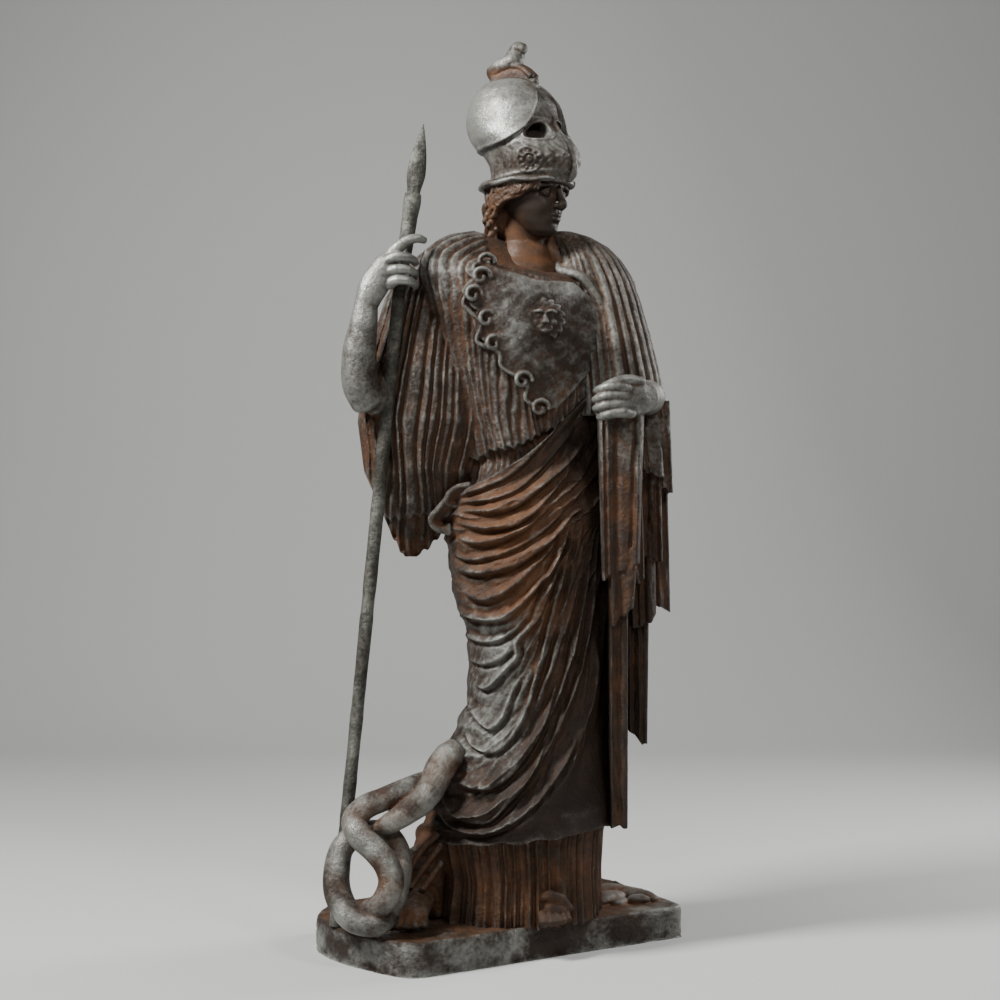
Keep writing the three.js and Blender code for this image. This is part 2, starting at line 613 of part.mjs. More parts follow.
function figureSolid() {
  const forms = [
    loft(bodyRings()), shoulderCloth(), aegis(), sleeve(),
    panel([1262, 236, 345, -118], [850, 246, 336, -98], 4, 9, 190, 46),
    panel([880, 232, 310, -58], [226, 262, 310, -34], 2, 8, 110, 0),
    panel([820, 298, 382, 52], [432, 306, 380, 56], 2, 10, 70, -24),
    panel([1290, 320, 412, 60], [762, 340, 428, 94], 3, 10, 110, -40),
    panel([1570, 236, 338, 90], [1170, 322, 422, 66], 3, 12, 130, -30),
    panel([1300, 290, 396, -20], [1090, 310, 400, -40], 3, 10, 130, -30),
    limb([[140, 84, 1655, 32], [200, 78, 1648, 36], [262, 74, 1612, 40], [300, 72, 1540, 42],
      [322, 64, 1430, 42],
      [338, 44, 1330, 42], [350, 10, 1280, 42]], 8, 6),
    ...helmet(), ...crest(), ...hair(), neck(), ...face(), ...rightArm(), ...leftHand(),
    ...foot(-208, -60, -8 * DEGREE, 86, 1.12), ...foot(108, -32, 20 * DEGREE, 72, 1), ...snake(),
      ...curls(),
    limb([[-196, -20, 90, 34, 0.8], [-182, -14, 150, 40, 0.8], [-150, 10, 200, 46],
      [-120, 20, 250, 50]], 7, 3),
  ];
  const eyes = wasm.Manifold.union(eyeHoles().map(solidOf));
  return wasm.Manifold.union(forms.map(solidOf)).subtract(eyes);
}

const PLINTH_MIDDLE = V(33, 109, 0); // the plinth's middle from the carving frame's axis, once turned

function turned(geometry) {
  return geometry.scale(UNIT, UNIT, UNIT).rotateZ(-CARVING_TURN);
}

function build() {
  const stone = new THREE.MeshStandardMaterial({ color: 0x7d7468, roughness: 0.55, metalness: 0 });
  const rod = new THREE.MeshStandardMaterial({ color: 0x6b665c, roughness: 0.55, metalness: 0 });
  const block = solidOf(plinth(PLINTH_MIDDLE.x * UNIT, PLINTH_MIDDLE.y * UNIT));
  const figure = solidOf(turned(geometryFrom(figureSolid()))).add(block);
  const carved = withoutShortEdges(outerSkin(geometryFrom(figure)), SHORTEST_EDGE);
  const hole = solidOf(turned(spear(SPEAR_CLEARANCE)));
  const statue = new THREE.Mesh(outerSkin(geometryFrom(solidOf(carved).subtract(hole))), stone);
  statue.name = 'statue';
  const shaft = new THREE.Mesh(turned(spear()), rod);
  shaft.name = 'spear';
  const athena = new THREE.Group();
  athena.add(statue, shaft);
  const box = new THREE.Box3().setFromObject(athena);
  const middle = box.getCenter(V(0, 0, 0));
  athena.position.set(-middle.x, -middle.y, -box.min.z);
  return athena;
}

export default build();
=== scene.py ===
"""A carved standing Athena with spear and snake: fine stone surfaces, patina, studio light.

Lengths in the carving functions are millimetres in the carving frame: x across the widest outline,
y away from the carver, z up from the plinth's top. place() turns and moves them into the row's frame.
"""
import math

import bpy
import numpy as np
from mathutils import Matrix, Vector
from mathutils.kdtree import KDTree


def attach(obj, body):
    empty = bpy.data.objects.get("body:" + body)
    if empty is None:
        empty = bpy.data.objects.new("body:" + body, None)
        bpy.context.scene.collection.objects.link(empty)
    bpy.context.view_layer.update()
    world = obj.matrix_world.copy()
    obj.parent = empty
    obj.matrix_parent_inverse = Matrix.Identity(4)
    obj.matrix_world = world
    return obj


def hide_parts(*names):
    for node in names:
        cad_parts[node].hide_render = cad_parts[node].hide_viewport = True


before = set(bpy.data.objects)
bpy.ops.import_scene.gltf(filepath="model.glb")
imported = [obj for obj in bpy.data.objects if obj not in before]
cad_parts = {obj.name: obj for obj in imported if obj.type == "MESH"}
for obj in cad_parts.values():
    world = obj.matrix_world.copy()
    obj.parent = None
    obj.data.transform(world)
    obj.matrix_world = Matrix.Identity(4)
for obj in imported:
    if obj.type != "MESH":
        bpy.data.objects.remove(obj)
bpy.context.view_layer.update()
TURN = math.radians(30)
SHIFT = np.array([-20.305, -30.054, 80.0])
# The photograph's camera, as the carving frame sees it. The picture is 1000 pixels wide and high.
FOCAL, PHOTO_MIDDLE = 1687, 500
CAMERA_AWAY, CAMERA_HEIGHT = 4130, 1020

# ---------------------------------------------------------------- helpers


def spun(p, angle):
    """Places [..., 3] turned about the upright axis."""
    c, s = math.cos(angle), math.sin(angle)
    return np.stack([c * p[..., 0] - s * p[..., 1], s * p[..., 0] + c * p[..., 1], p[..., 2]], -1)


def place(p):
    """Carving frame in mm to the row's frame in metres."""
    return (spun(p, -TURN) + SHIFT) / 1000


def seen(p):
    """Where places of the carving frame show in the photograph, in its pixels."""
    away = CAMERA_AWAY + p[..., 1]
    return PHOTO_MIDDLE + FOCAL * p[..., 0] / away, PHOTO_MIDDLE + FOCAL * (CAMERA_HEIGHT - p[..., 2]) / away


def mix(a, b, t):
    return a + (b - a) * t


def smooth(a, b, x):
    t = np.clip((x - a) / (b - a), 0, 1)
    return t * t * (3 - 2 * t)


def bump(x, width):
    return np.exp(-((x / width) ** 2))


def rand(i, seed=0):
    """A fixed pseudo-random value from 0 to 1 for each whole number."""
    v = np.sin(np.asarray(i, float) * 127.1 + seed * 311.7 + 1.3) * 43758.5453
    return v - np.floor(v)


def wander(x, seed=0):
    """Smooth 1-D noise from -1 to 1, one value a unit."""
    i = np.floor(x)
    t = x - i
    t = t * t * (3 - 2 * t)
    return 2 * mix(rand(i, seed), rand(i + 1, seed), t) - 1


def cloud(p, size, seed=0):
    """Smooth 3-D noise from -1 to 1."""
    q = p / size
    i = np.floor(q)
    t = q - i
    t = t * t * (3 - 2 * t)
    out = 0
    for corner in np.ndindex(2, 2, 2):
        dx, dy, dz = corner
        h = rand((i[:, 0] + dx) * 1.0 + (i[:, 1] + dy) * 57.0 + (i[:, 2] + dz) * 131.0, seed)
        share = np.where(corner, t, 1 - t)
        out = out + h * (share[:, 0] * share[:, 1] * share[:, 2])
    return 2 * out - 1


def table(rows, key):
    """The columns of a table after its first, each read at key by straight lines between rows."""
    rows = np.asarray(rows, float)
    return [np.interp(key, rows[:, 0], rows[:, k]) for k in range(1, rows.shape[1])]


def grid(points):
    """Closed skin over an array of rings [rows, columns, 3], with a fan at each end."""
    r, n, _ = points.shape
    verts = np.concatenate([points.reshape(-1, 3), points[0].mean(0)[None], points[-1].mean(0)[None]])
    i, j = np.meshgrid(np.arange(r - 1), np.arange(n), indexing="ij")
    a = (i * n + j).ravel()
    b = (i * n + (j + 1) % n).ravel()
    faces = [np.stack([a, b, b + n], 1), np.stack([a, b + n, a + n], 1)]
    j = np.arange(n)
    low, high, top = r * n, r * n + 1, (r - 1) * n
    faces.append(np.stack([np.full(n, low), (j + 1) % n, j], 1))
    faces.append(np.stack([np.full(n, high), top + j, top + (j + 1) % n], 1))
    return verts, np.concatenate(faces)


def cloth(outer, inner):
    """Closed cloth between two arrays [rows, columns, 3]."""
    return grid(np.concatenate([outer, inner[:, ::-1]], 1))


def curve(rows, t):
    """Points of a centripetal curve through rows, with t from 0 to 1."""
    p = np.array([r[:3] for r in rows], float)
    p = np.concatenate([[2 * p[0] - p[1]], p, [2 * p[-1] - p[-2]]])
    u = t * (len(p) - 3)
    k = np.minimum(u.astype(int), len(p) - 4)
    u = (u - k)[:, None]
    p0, p1, p2, p3 = p[k], p[k + 1], p[k + 2], p[k + 3]
    d = lambda a, b: np.maximum(np.sum((a - b) ** 2, 1), 1e-6)[:, None] ** 0.25
    d0, d1, d2 = d(p0, p1), d(p1, p2), d(p2, p3)
    m1 = ((p1 - p0) / d0 - (p2 - p0) / (d0 + d1) + (p2 - p1) / d1) * d1
    m2 = ((p2 - p1) / d1 - (p3 - p1) / (d1 + d2) + (p3 - p2) / d2) * d1
    c2 = -3 * p1 + 3 * p2 - 2 * m1 - m2
    c3 = 2 * p1 - 2 * p2 + m1 + m2
    return p1 + m1 * u + c2 * u ** 2 + c3 * u ** 3


END_REACH = 0.62  # how far a limb's round end stands out, as a share of its radius


def limb(rows, flat_side=(0, 1, 0), sides=28, per=10, wave=None):
    """Round or oval limb along a curve through [x, y, z, radius, flatness] rows, with round ends."""
    n = (len(rows) - 1) * per + 1
    t = np.linspace(0, 1, n)
    mid = curve(rows, t)
    keys = np.linspace(0, 1, len(rows))
    ease = t * (len(rows) - 1)
    ease = (np.floor(ease) + smooth(0, 1, ease - np.floor(ease))) / (len(rows) - 1)
    radius = np.interp(mix(t, ease, 0.6), keys, [r[3] for r in rows])
    flat = np.interp(t, keys, [r[4] if len(r) > 4 else 1 for r in rows])
    along = np.gradient(mid, axis=0)
    along /= np.linalg.norm(along, axis=1)[:, None]
    ends = np.array([0.0, 0.35, 0.65, 0.88])
    shrink = [math.sqrt(1 - (1 - e) ** 2) for e in ends]
    lead = np.stack([mid[0] - along[0] * radius[0] * END_REACH * (1 - e) for e in ends])
    tail = np.stack([mid[-1] + along[-1] * radius[-1] * END_REACH * (1 - e) for e in ends[::-1]])
    shrink[0] = 0.06
    mid = np.concatenate([lead, mid, tail])
    radius = np.concatenate([radius[0] * np.array(shrink), radius, radius[-1] * np.array(shrink[::-1])])
    flat = np.concatenate([np.full(4, flat[0]), flat, np.full(4, flat[-1])])
    along = np.concatenate([np.repeat(along[:1], 4, 0), along, np.repeat(along[-1:], 4, 0)])
    across = np.cross(along, np.asarray(flat_side, float))
    across /= np.linalg.norm(across, axis=1)[:, None]
    thin = np.cross(across, along)
    a = np.linspace(0, 2 * math.pi, sides, endpoint=False)
    r = radius[:, None] * np.ones(sides)
    if wave is not None:
        r = r * wave(np.linspace(0, 1, len(mid))[:, None], a[None])
    wide, deep = r * np.cos(a), r * flat[:, None] * np.sin(a)
    return grid(mid[:, None] + across[:, None] * wide[..., None] + thin[:, None] * deep[..., None])


def ball(x, y, z, rx, ry, rz, sides=40, bands=24):
    v, a = np.linspace(0.02, math.pi - 0.02, bands), np.linspace(0, 2 * math.pi, sides, endpoint=False)
    v, a = np.meshgrid(v, a, indexing="ij")
    p = np.stack([rx * np.sin(v) * np.cos(a), ry * np.sin(v) * np.sin(a), -rz * np.cos(v)], -1)
    return grid(p + [x, y, z])


def moved(form, fn):
    return fn(form[0]), form[1]


# ---------------------------------------------------------------- the draped body

SUNK = 6  # how far the tunic's foot reaches into the plinth
DROP = 68  # how far the shoulders' middle falls below their rim
# Each row: height, left and right edge, depth of the middle, depth as a share of width.
BODY = [
    [-6, -150, 250, 80, 0.9], [100, -147, 250, 80, 0.9], [190, -165, 255, 80, 0.9], [270, -165, 268, 80, 0.9],
    [370, -130, 270, 80, 0.86], [420, -110, 268, 80, 0.85], [520, -68, 264, 80, 0.85], [620, -62, 260, 80, 0.85],
    [700, -70, 260, 80, 0.85], [775, -98, 264, 80, 0.85], [870, -112, 272, 80, 0.84], [970, -125, 285, 82, 0.8],
    [1020, -122, 290, 84, 0.78], [1070, -95, 284, 86, 0.74], [1120, -87, 275, 88, 0.72], [1220, -112, 268, 90, 0.7],
    [1420, -150, 290, 90, 0.66], [1520, -175, 310, 90, 0.58], [1570, -187, 316, 94, 0.5],
    [1600, -186, 312, 98, 0.42],
    [1625, -178, 300, 102, 0.34], [1650, -150, 282, 106, 0.28], [1668, -118, 252, 108, 0.26],
    [1682, -60, 200, 108, 0.28],
]


def on_body(angle, height, out=0.0):
    angle, height, out = np.broadcast_arrays(np.asarray(angle, float), np.asarray(height, float),
                                             np.asarray(out, float))
    left, right, middle, share = table(BODY, height)
    wide = (right - left) / 2 / np.hypot(math.cos(TURN), share * math.sin(TURN))
    a = np.radians(angle)
    t = a - TURN
    r = 1 / np.hypot(np.cos(t) / (share * wide), np.sin(t) / wide) + out
    low = DROP * smooth(1545, 1682, height) * np.maximum(0, np.cos(t))
    return np.stack([(left + right) / 2 + r * np.sin(a), middle - r * np.cos(a), height - low], -1)


# The cloak's folds from its roll down to its hem. Each row: angle and height of the lowest point, angle
# and height where it is gathered at the hip, steepness of the rise, height at the back.
SWAGS = [
    (-80, 995, 65, 1305, 1.17, 1120), (-40, 978, 71, 1217, 1.28, 1070), (-35, 950, 60, 1143, 1.67, 1020),
    (-45, 915, 56, 1093, 1.58, 975), (-41, 847, 48, 1003, 1.37, 915), (-40, 788, 40, 990, 1.8, 850),
    (-40, 725, 32, 984, 2.2, 780), (-44, 640, 38, 978, 1.8, 700), (-46, 563, 44, 972, 1.53, 620),
    (-38, 465, 48, 947, 1.3, 530), (-35, 405, 50, 923, 1.3, 450), (-33, 333, 55, 913, 1.55, 380),
    (-33, 266, 61, 873, 1.7, 310), (-38, 226, 73, 774, 2.3, 255), (-60, 192, 90, 232, 1, 205),
]
# How strongly each of those folds stands out, at the angles of STRENGTH_AT.
STRENGTH_AT = [-130, -95, -60, -30, 0, 30, 70]
STRENGTH = [
    [0.5, 0.8, 1.0, 1.1, 1.1, 1.0, 0.9], [0.4, 0.9, 1.1, 1.1, 1.2, 1.2, 1.0], [0.4, 0.9, 1.1, 1.1, 1.1, 1.1, 1.0],
    [0.4, 0.9, 1.2, 1.2, 1.0, 1.1, 1.0], [0.4, 1.0, 1.3, 1.3, 1.3, 1.3, 1.1], [0.3, 0.7, 0.9, 1.1, 1.0, 0.9, 1.0],
    [0.4, 1.1, 1.5, 1.5, 1.4, 1.2, 1.0], [0.2, 0.3, 0.35, 0.4, 1.0, 1.1, 1.0], [0.2, 0.4, 0.5, 0.7, 1.2, 1.1, 1.0],
    [0.3, 0.7, 0.9, 0.9, 0.9, 1.1, 1.0], [0.3, 0.7, 0.9, 1.0, 1.1, 1.1, 1.0], [0.3, 0.8, 1.1, 1.2, 1.2, 1.2, 1.0],
    [0.3, 0.9, 1.2, 1.2, 1.2, 1.2, 1.0], [0.3, 0.8, 1.0, 1.0, 1.0, 1.0, 0.9], [0.6, 0.9, 1.0, 1.0, 1.0, 1.0, 1.0],
]
HIMATION_OUT, FOLD_DEPTH, OVERFOLD_OUT = 16, 15, 14


def swag_heights(angle):
    out = []
    for low, low_h, gathered, high, steep, back in SWAGS:
        up = (high - low_h) * np.maximum(0, (angle - low) / (gathered - low)) ** steep
        rise = np.where(angle > low, up, (back - low_h) * smooth(low, -200, angle))
        h = low_h + rise
        out.append(h if not out else np.minimum(h, out[-1] - 11))
    return np.stack(out)


def overfold_edge(angle):
    edge = np.interp(angle, [-270, -130, -80, -39, 0, 40, 90], [1085, 1080, 1098, 1127, 1171, 1230, 1085])
    q = angle / 7.3
    return edge + (3.5 * np.cos(2 * math.pi * q) + 7 * wander(angle / 9, 23)) * smooth(-110, -90, angle)


def tightness(angle, height):
    round_ = smooth(20, -20, angle) * smooth(-150, -100, angle)
    over_leg = 0.45 * round_ * smooth(230, 330, height) * smooth(960, 860, height)
    return (1 - over_leg) * (1 - 0.6 * smooth(-90, -130, angle))


def pleats(q, seed, groove=0.5):
    """Upright pleats with round crests and narrow deep grooves between them. One pleat a unit of q."""
    q = q + 0.42 * wander(q * 0.62, seed + 2) + 0.12 * wander(q * 1.7, seed + 3)
    i = np.floor(q)
    t = q - i
    cut = 0.5 + 0.34 * (rand(i, seed) - 0.5)
    t = np.where(t < cut, t / cut * 0.5, 0.5 + (t - cut) / (1 - cut) * 0.5)
    crest_ = np.abs(np.sin(math.pi * t)) ** groove
    small = 0.12 * np.abs(np.sin(math.pi * (2 * q + rand(i, seed + 7)))) * crest_
    return crest_ * (0.45 + 0.55 * rand(i, seed + 5)) + small


LINE_REACH = 16  # pixels beyond which a fold line raises nothing


def drawn(p, lines):
    """Relief of fold lines drawn on the figure as it is seen from the carving's front.

    Each line is (height in mm, width, points). The fold falls steeply below the line and gently above it.
    """
    x, y = seen(p)
    out = np.zeros(x.shape)
    for height, width, pts in lines:
        path = curve([[*q, 0] for q in pts], np.linspace(0, 1, 3 * len(pts)))[:, :2]
        (left, top), (right, low) = path.min(0) - LINE_REACH, path.max(0) + LINE_REACH
        near = (x > left) & (x < right) & (y > top) & (y < low)
        xs, ys = x[near], y[near]
        best, side, along = np.full(xs.shape, 1e9), np.zeros(xs.shape), np.zeros(xs.shape)
        for k in range(len(path) - 1):
            (ax, ay), (bx, by) = path[k], path[k + 1]
            dx, dy = bx - ax, by - ay
            t = np.clip(((xs - ax) * dx + (ys - ay) * dy) / (dx * dx + dy * dy), 0, 1)
            d = np.hypot(xs - ax - t * dx, ys - ay - t * dy)
            closer = d < best
            best = np.where(closer, d, best)
            side = np.where(closer, dx * (ys - ay) - dy * (xs - ax), side)
            along = np.where(closer, (k + t) / (len(path) - 1), along)
        d = np.where(side > 0, best, -best) / width
        form = np.where(d < 0, bump(d, 3.6), bump(d, 1.5)) - 0.9 * bump(d - 3.7, 2.2)
        out[near] += 1.25 * height * form * smooth(0, 0.14, along) * smooth(1, 0.86, along)
    return out


CLOAK_LINES = [
    (6, 0.8, [(456, 497), (480, 489), (508, 477), (530, 458), (552, 432), (572, 408)]),
    (7, 0.9, [(456, 503), (486, 500), (516, 490), (540, 470), (560, 446), (580, 418)]),
    (8, 1.0, [(458, 511), (490, 511), (514, 507), (540, 488), (572, 458), (588, 432)]),
    (9, 1.0, [(452, 522), (486, 528), (514, 525), (534, 512), (560, 482), (578, 458)]),
    (8, 1.1, [(456, 538), (480, 543), (504, 538), (530, 524), (552, 502)]),
    (7, 0.9, [(450, 552), (470, 560), (494, 556), (520, 546), (546, 528), (566, 508)]),
    (9, 1.1, [(452, 566), (474, 573), (516, 565), (540, 549), (560, 530), (573, 513), (590, 508)]),
    (8, 1.1, [(458, 580), (468, 594), (484, 600), (506, 592), (528, 573), (550, 549), (566, 526)]),
    (11, 1.1, [(456, 606), (470, 617), (500, 619), (516, 609), (534, 590), (550, 571), (562, 546), (572, 522)]),
    (6, 1.0, [(464, 634), (480, 641), (498, 640), (514, 630), (528, 612)]),
    (6, 1.0, [(468, 658), (484, 664), (500, 659), (513, 648)]),
    (9, 1.0, [(474, 684), (487, 688), (503, 673), (518, 655), (517, 643), (538, 618), (549, 591), (572, 540)]),
    (7, 1.0, [(467, 690), (473, 712), (490, 729), (500, 722), (511, 698), (522, 672)]),
    (7, 1.0, [(464, 730), (475, 747), (494, 752), (512, 737), (528, 707), (538, 676)]),
    (8, 1.1, [(454, 780), (470, 787), (494, 787), (512, 774), (529, 753), (541, 730), (553, 698), (562, 660)]),
    (8, 1.1, [(438, 794), (457, 817), (488, 822), (507, 805), (529, 778), (553, 720), (562, 686), (572, 640)]),
    (7, 1.0, [(435, 804), (451, 826), (480, 834), (509, 824), (541, 798), (565, 763), (581, 733), (592, 690)]),
    (6, 0.9, [(564, 526), (554, 560), (542, 592), (530, 622)]),
    (7, 0.9, [(578, 518), (563, 570), (550, 618), (541, 658), (526, 708)]),
    (7, 0.9, [(583, 514), (573, 560), (561, 620), (549, 670), (534, 716)]),
    (7, 0.9, [(592, 530), (582, 600), (569, 660), (551, 718)]),
    (7, 0.9, [(596, 545), (591, 600), (582, 660), (564, 716)]),
    (6, 1.0, [(574, 622), (566, 690), (546, 748), (518, 800)]),
    (6, 1.0, [(598, 640), (590, 712), (570, 768), (538, 812)]),
]


def cloak_out(a, h, swags):
    """Depth of the cloak's surface over the body at angles a and heights h, both [rows, columns]."""
    phi = np.empty_like(h)
    idx = np.arange(len(SWAGS), dtype=float)
    for j in range(h.shape[1]):
        phi[:, j] = np.interp(-h[:, j], -swags[:, j], idx)
    stray = 0.10 * wander(a / 9 + phi * 1.7, 3) + 0.06 * wander(a / 3.7 + phi * 3.1, 4)
    phi = np.clip(phi + stray * smooth(0.1, 0.9, phi) * smooth(13.9, 13.2, phi), 0, len(SWAGS) - 1)
    i = np.minimum(phi.astype(int), len(SWAGS) - 2)
    f = phi - i
    col = np.broadcast_to(np.arange(h.shape[1]), h.shape)
    room = swags[i, col] - swags[i + 1, col]
    depth = np.clip(room * 0.24, 2, FOLD_DEPTH + 3) * tightness(a, h)
    rows = np.array([np.interp(a[0], STRENGTH_AT, s) for s in STRENGTH])
    amp = np.where(f < 0.45, rows[i, col], rows[i + 1, col])
    wob = 1 + 0.22 * wander(a / 17 + i * 5.3, 8)
    t = np.where(f < 0.45, f / 0.45, (1 - f) / 0.55)
    below = (1 - t) ** 2.3
    above = (1 - t) ** 1.35
    shape = np.where(f < 0.45, below, above)
    front = smooth(-115, -95, a)
    depth = depth * mix(1, mix(0.42, 0.75, smooth(700, 300, h)), front)
    out = HIMATION_OUT + depth * amp * wob * (1.8 * shape - 0.8)
    wide = smooth(30, 75, room)
    small = np.sin(2 * math.pi * (2.6 * phi + 0.5 * wander(a / 13, 6)))
    out += 1.7 * wide * small * smooth(0.75, 0.25, np.abs(f - 0.5) * 2)
    out += 1.1 * wander(phi * 4.3 + 20 * wander(a / 40, 2), 11) * smooth(8, 20, room)
    return out


def breasts(a, h):
    return 14 * bump(a - 62, 16) * bump(h - 1420, 78) + 12 * bump(a + 6, 17) * bump(h - 1425, 78)


def limbs_under(a, h):
    """How far breasts, thigh, knee and shin push the cloth out."""
    leg = bump(a + 32, 24) * smooth(240, 420, h) * smooth(930, 760, h)
    return breasts(a, h) + 9 * leg * (1 + 0.4 * bump(h - 600, 90) - 0.5 * bump(h - 430, 80))


def lower_out(a, h):
    """The tunic below the cloak's hem: narrow upright pleats with dark grooves."""
    q = a / 5.6 + 0.6 * wander(a / 13, 1) + 0.22 * wander(h / 120 + a / 9, 2)
    deep = pleats(q, 21, 0.6)
    out = -15 + 21 * deep + 4 * wander(a / 1.7 + 0.6 * wander(h / 70, 4), 17)
    return out + 7 * smooth(110, -6, h) * deep + 5 * wander(a / 21, 18)


def cloak_depth(a, h):
    """The cloak between its rolled edge and its hem, with the strong folds that cross the thigh."""
    swags = swag_heights(a[0])
    out = cloak_out(a, h, swags) + 5 * bump(h - (swags[0][None] - 12), 15) * smooth(-140, -80, a)
    out = out + limbs_under(a, h)
    return out + drawn(on_body(a, h, out), CLOAK_LINES) * smooth(-112, -100, a)


def bare(p):
    """1 on the bare throat above the tunic's neckline, drawn as it is seen from the carving's front."""
    x, y = seen(p)
    left = smooth(-2, 3, x - np.interp(y, [225, 247, 266, 290], [482, 486, 500, 520]))
    low = smooth(-2, 3, np.interp(x, [487, 500, 540, 572, 590], [250, 264, 277, 283, 282]) - y)
    right = smooth(-2, 3, np.interp(y, [228, 247, 285, 320], [560, 568, 584, 590]) - x)
    return left * low * right * smooth(70, 40, p[..., 1])


def tunic_out(a, h):
    """The tunic from the cloak's roll up to the shoulders, with the overfold's free edge."""
    q = a / 5.2 + 0.25 * wander(h / 60 + a / 7, 3)
    mid = -9 + 12 * pleats(q, 31, 0.7) + 1.6 * wander(a / 1.4 + 3 * wander(h / 45, 5), 12)
    q = a / 4.9 + 0.5 * wander(a / 19, 4) + 0.3 * wander(h / 90 + a / 11, 6)
    skin_ = bare(on_body(a, h))
    fade = smooth(1684, 1640, h) * (1 - skin_)
    over = OVERFOLD_OUT * (1 - 0.5 * smooth(1128, 1600, h)) + fade * (-5 + 11 * pleats(q, 41, 0.75))
    over = over + fade * 1.8 * wander(a / 1.3 + 2.5 * wander(h / 30 + a / 5, 7), 13)
    over = over + fade * 4 * wander(a / 11 + h / 400, 43)
    over = over * smooth(1690, 1650, h)
    over = over - 4 * skin_ + 3 * bump(skin_ - 0.3, 0.25)
    edge = overfold_edge(a)
    return mix(mid, over, smooth(-3, 2, h - edge)) + limbs_under(a, h)


COLS = 720
ANGLES = np.linspace(-270, 90, COLS, endpoint=False)


def layer(low, high, step, depth, tuck=24, lift=0):
    """A closed layer between two heights given for each angle, its edges turned in."""
    lo, hi = low(ANGLES), high(ANGLES)
    n = int((hi - lo).max() / step)
    t = np.concatenate([[0, 0, 0], np.linspace(0, 1, n), [1, 1, 1]])[:, None]
    h = lo[None] * (1 - t) + hi[None] * t
    a = np.broadcast_to(ANGLES, h.shape)
    out = depth(a, h)
    rim = np.ones(len(t))
    rim[[0, 1, 2, -3, -2, -1]] = [0, 0.55, 0.85, 0.85, 0.55, 0]
    h = h + (np.array([4, 0.6, -0.8] + [0] * n + [0.8, -0.6, -4])[:, None])
    out = out - tuck * (1 - rim[:, None])
    p = on_body(a, h, out)
    p[..., 2] += lift * (pleats(a / 5.2, 45, 0.7) - 0.5) * smooth(1570, 1640, h) * (1 - bare(p))
    return grid(p)


def body_layers():
    roll = lambda a: swag_heights(a)[0]
    hem = lambda a: swag_heights(a)[-1] + 5 * wander(a / 11, 19)
    level = lambda z: (lambda a: np.full(a.shape, float(z)))
    return {
        "lower": layer(level(-SUNK), lambda a: hem(a) + 34, 5, lower_out, 8),
        "cloak": layer(hem, roll, 3.2, cloak_depth, 34),
        "tunic": layer(lambda a: roll(a) - 40, level(1682), 4, tunic_out, 6, 13),
    }


# ---------------------------------------------------------------- cloths

SHOULDER_EDGE = [[1210, 77], [1315, 69], [1414, 66], [1509, 58], [1593, 46], [1640, 46], [1676, 60]]


MANTLE_LINES = [
    (8, 1.2, [(562, 230), (579, 262), (590, 300), (595, 346), (597, 380)]),
    (8, 1.2, [(574, 232), (592, 262), (605, 300), (609, 345), (611, 376)]),
    (7, 1.1, [(588, 236), (606, 265), (619, 300), (626, 340), (629, 372)]),
    (7, 1.1, [(600, 244), (620, 272), (633, 310), (641, 350), (644, 380)]),
    (6, 1.0, [(612, 252), (631, 285), (643, 320), (651, 360), (655, 388)]),
]


def shoulder_cloth():
    """The cloak across the left shoulder and the back, with two rolled folds along its front edge."""
    v, u = np.meshgrid(np.linspace(0, 1, 150), np.linspace(0, 1, 260), indexing="ij")
    h = mix(1215, 1676, v)
    edge = table(SHOULDER_EDGE, h)[0]
    angle = mix(edge, 200, u)
    q = u * 17 + 0.25 * wander(v * 3 + u * 4, 9)
    fold = (-5 + 11 * pleats(q, 51, 0.8)) * (1 - v * 0.3)
    out = 22 + fold + 14 * smooth(0, 0.3, u) * (1 - v) + limbs_under(angle, h)
    out = out + drawn(on_body(angle, h, out), MANTLE_LINES)
    thin = smooth(0, 0.012, u)
    at = np.arange(1236.0, 1690, 22)
    rim = table(SHOULDER_EDGE, at)[0]
    lift = limbs_under(rim, at)
    roll = on_body(rim + 2, at, 25 + lift + 2 * np.sin(at / 33))
    fall = on_body(rim + 7.5 + 1.5 * np.sin(at / 90), at, 27 + lift)
    return [
        cloth(on_body(angle, h, -20), on_body(angle, h, mix(10, out, thin))),
        limb([[*q, 10.5] for q in roll], (1, 0, 0), sides=18, per=5),
        limb([[*q, 8] for q in fall], (1, 0, 0), sides=14, per=5),
    ]


def aegis():
    """The scaly goatskin on the chest, with a scalloped edge."""
    edge = [[1236, 6, 12], [1300, -3, 30], [1379, -21, 50], [1400, -28, 52], [1521, -34, 52], [1590, -32, 46],
            [1632, -34, 34]]
    v, u = np.meshgrid(np.linspace(0, 1, 210), np.linspace(0, 1, 180), indexing="ij")
    h = mix(1238, 1632, v)
    lo, hi = table(edge, h)
    h = mix(1238, np.interp(mix(-44, 44, u), [-44, -25, 5, 44], [1632, 1585, 1545, 1548]), v)
    scallop = 5.5 * np.abs(np.sin(math.pi * (h - 1236) / 78)) ** 0.6
    angle = mix(lo - scallop, hi + 8, u)
    p = on_body(angle, h, 0)
    out = 24 + 1.3 * np.sin(p[..., 0] / 7.5 + 2 * np.sin(h / 21)) * np.sin(h / 7.5 + 1.5 * np.sin(p[..., 0] / 17))
    round_ = smooth(0, 0.02, u) * smooth(0, 0.008, v)
    out = out + breasts(angle, h)
    return cloth(on_body(angle, h, -20), on_body(angle, h, mix(14, out, round_)))


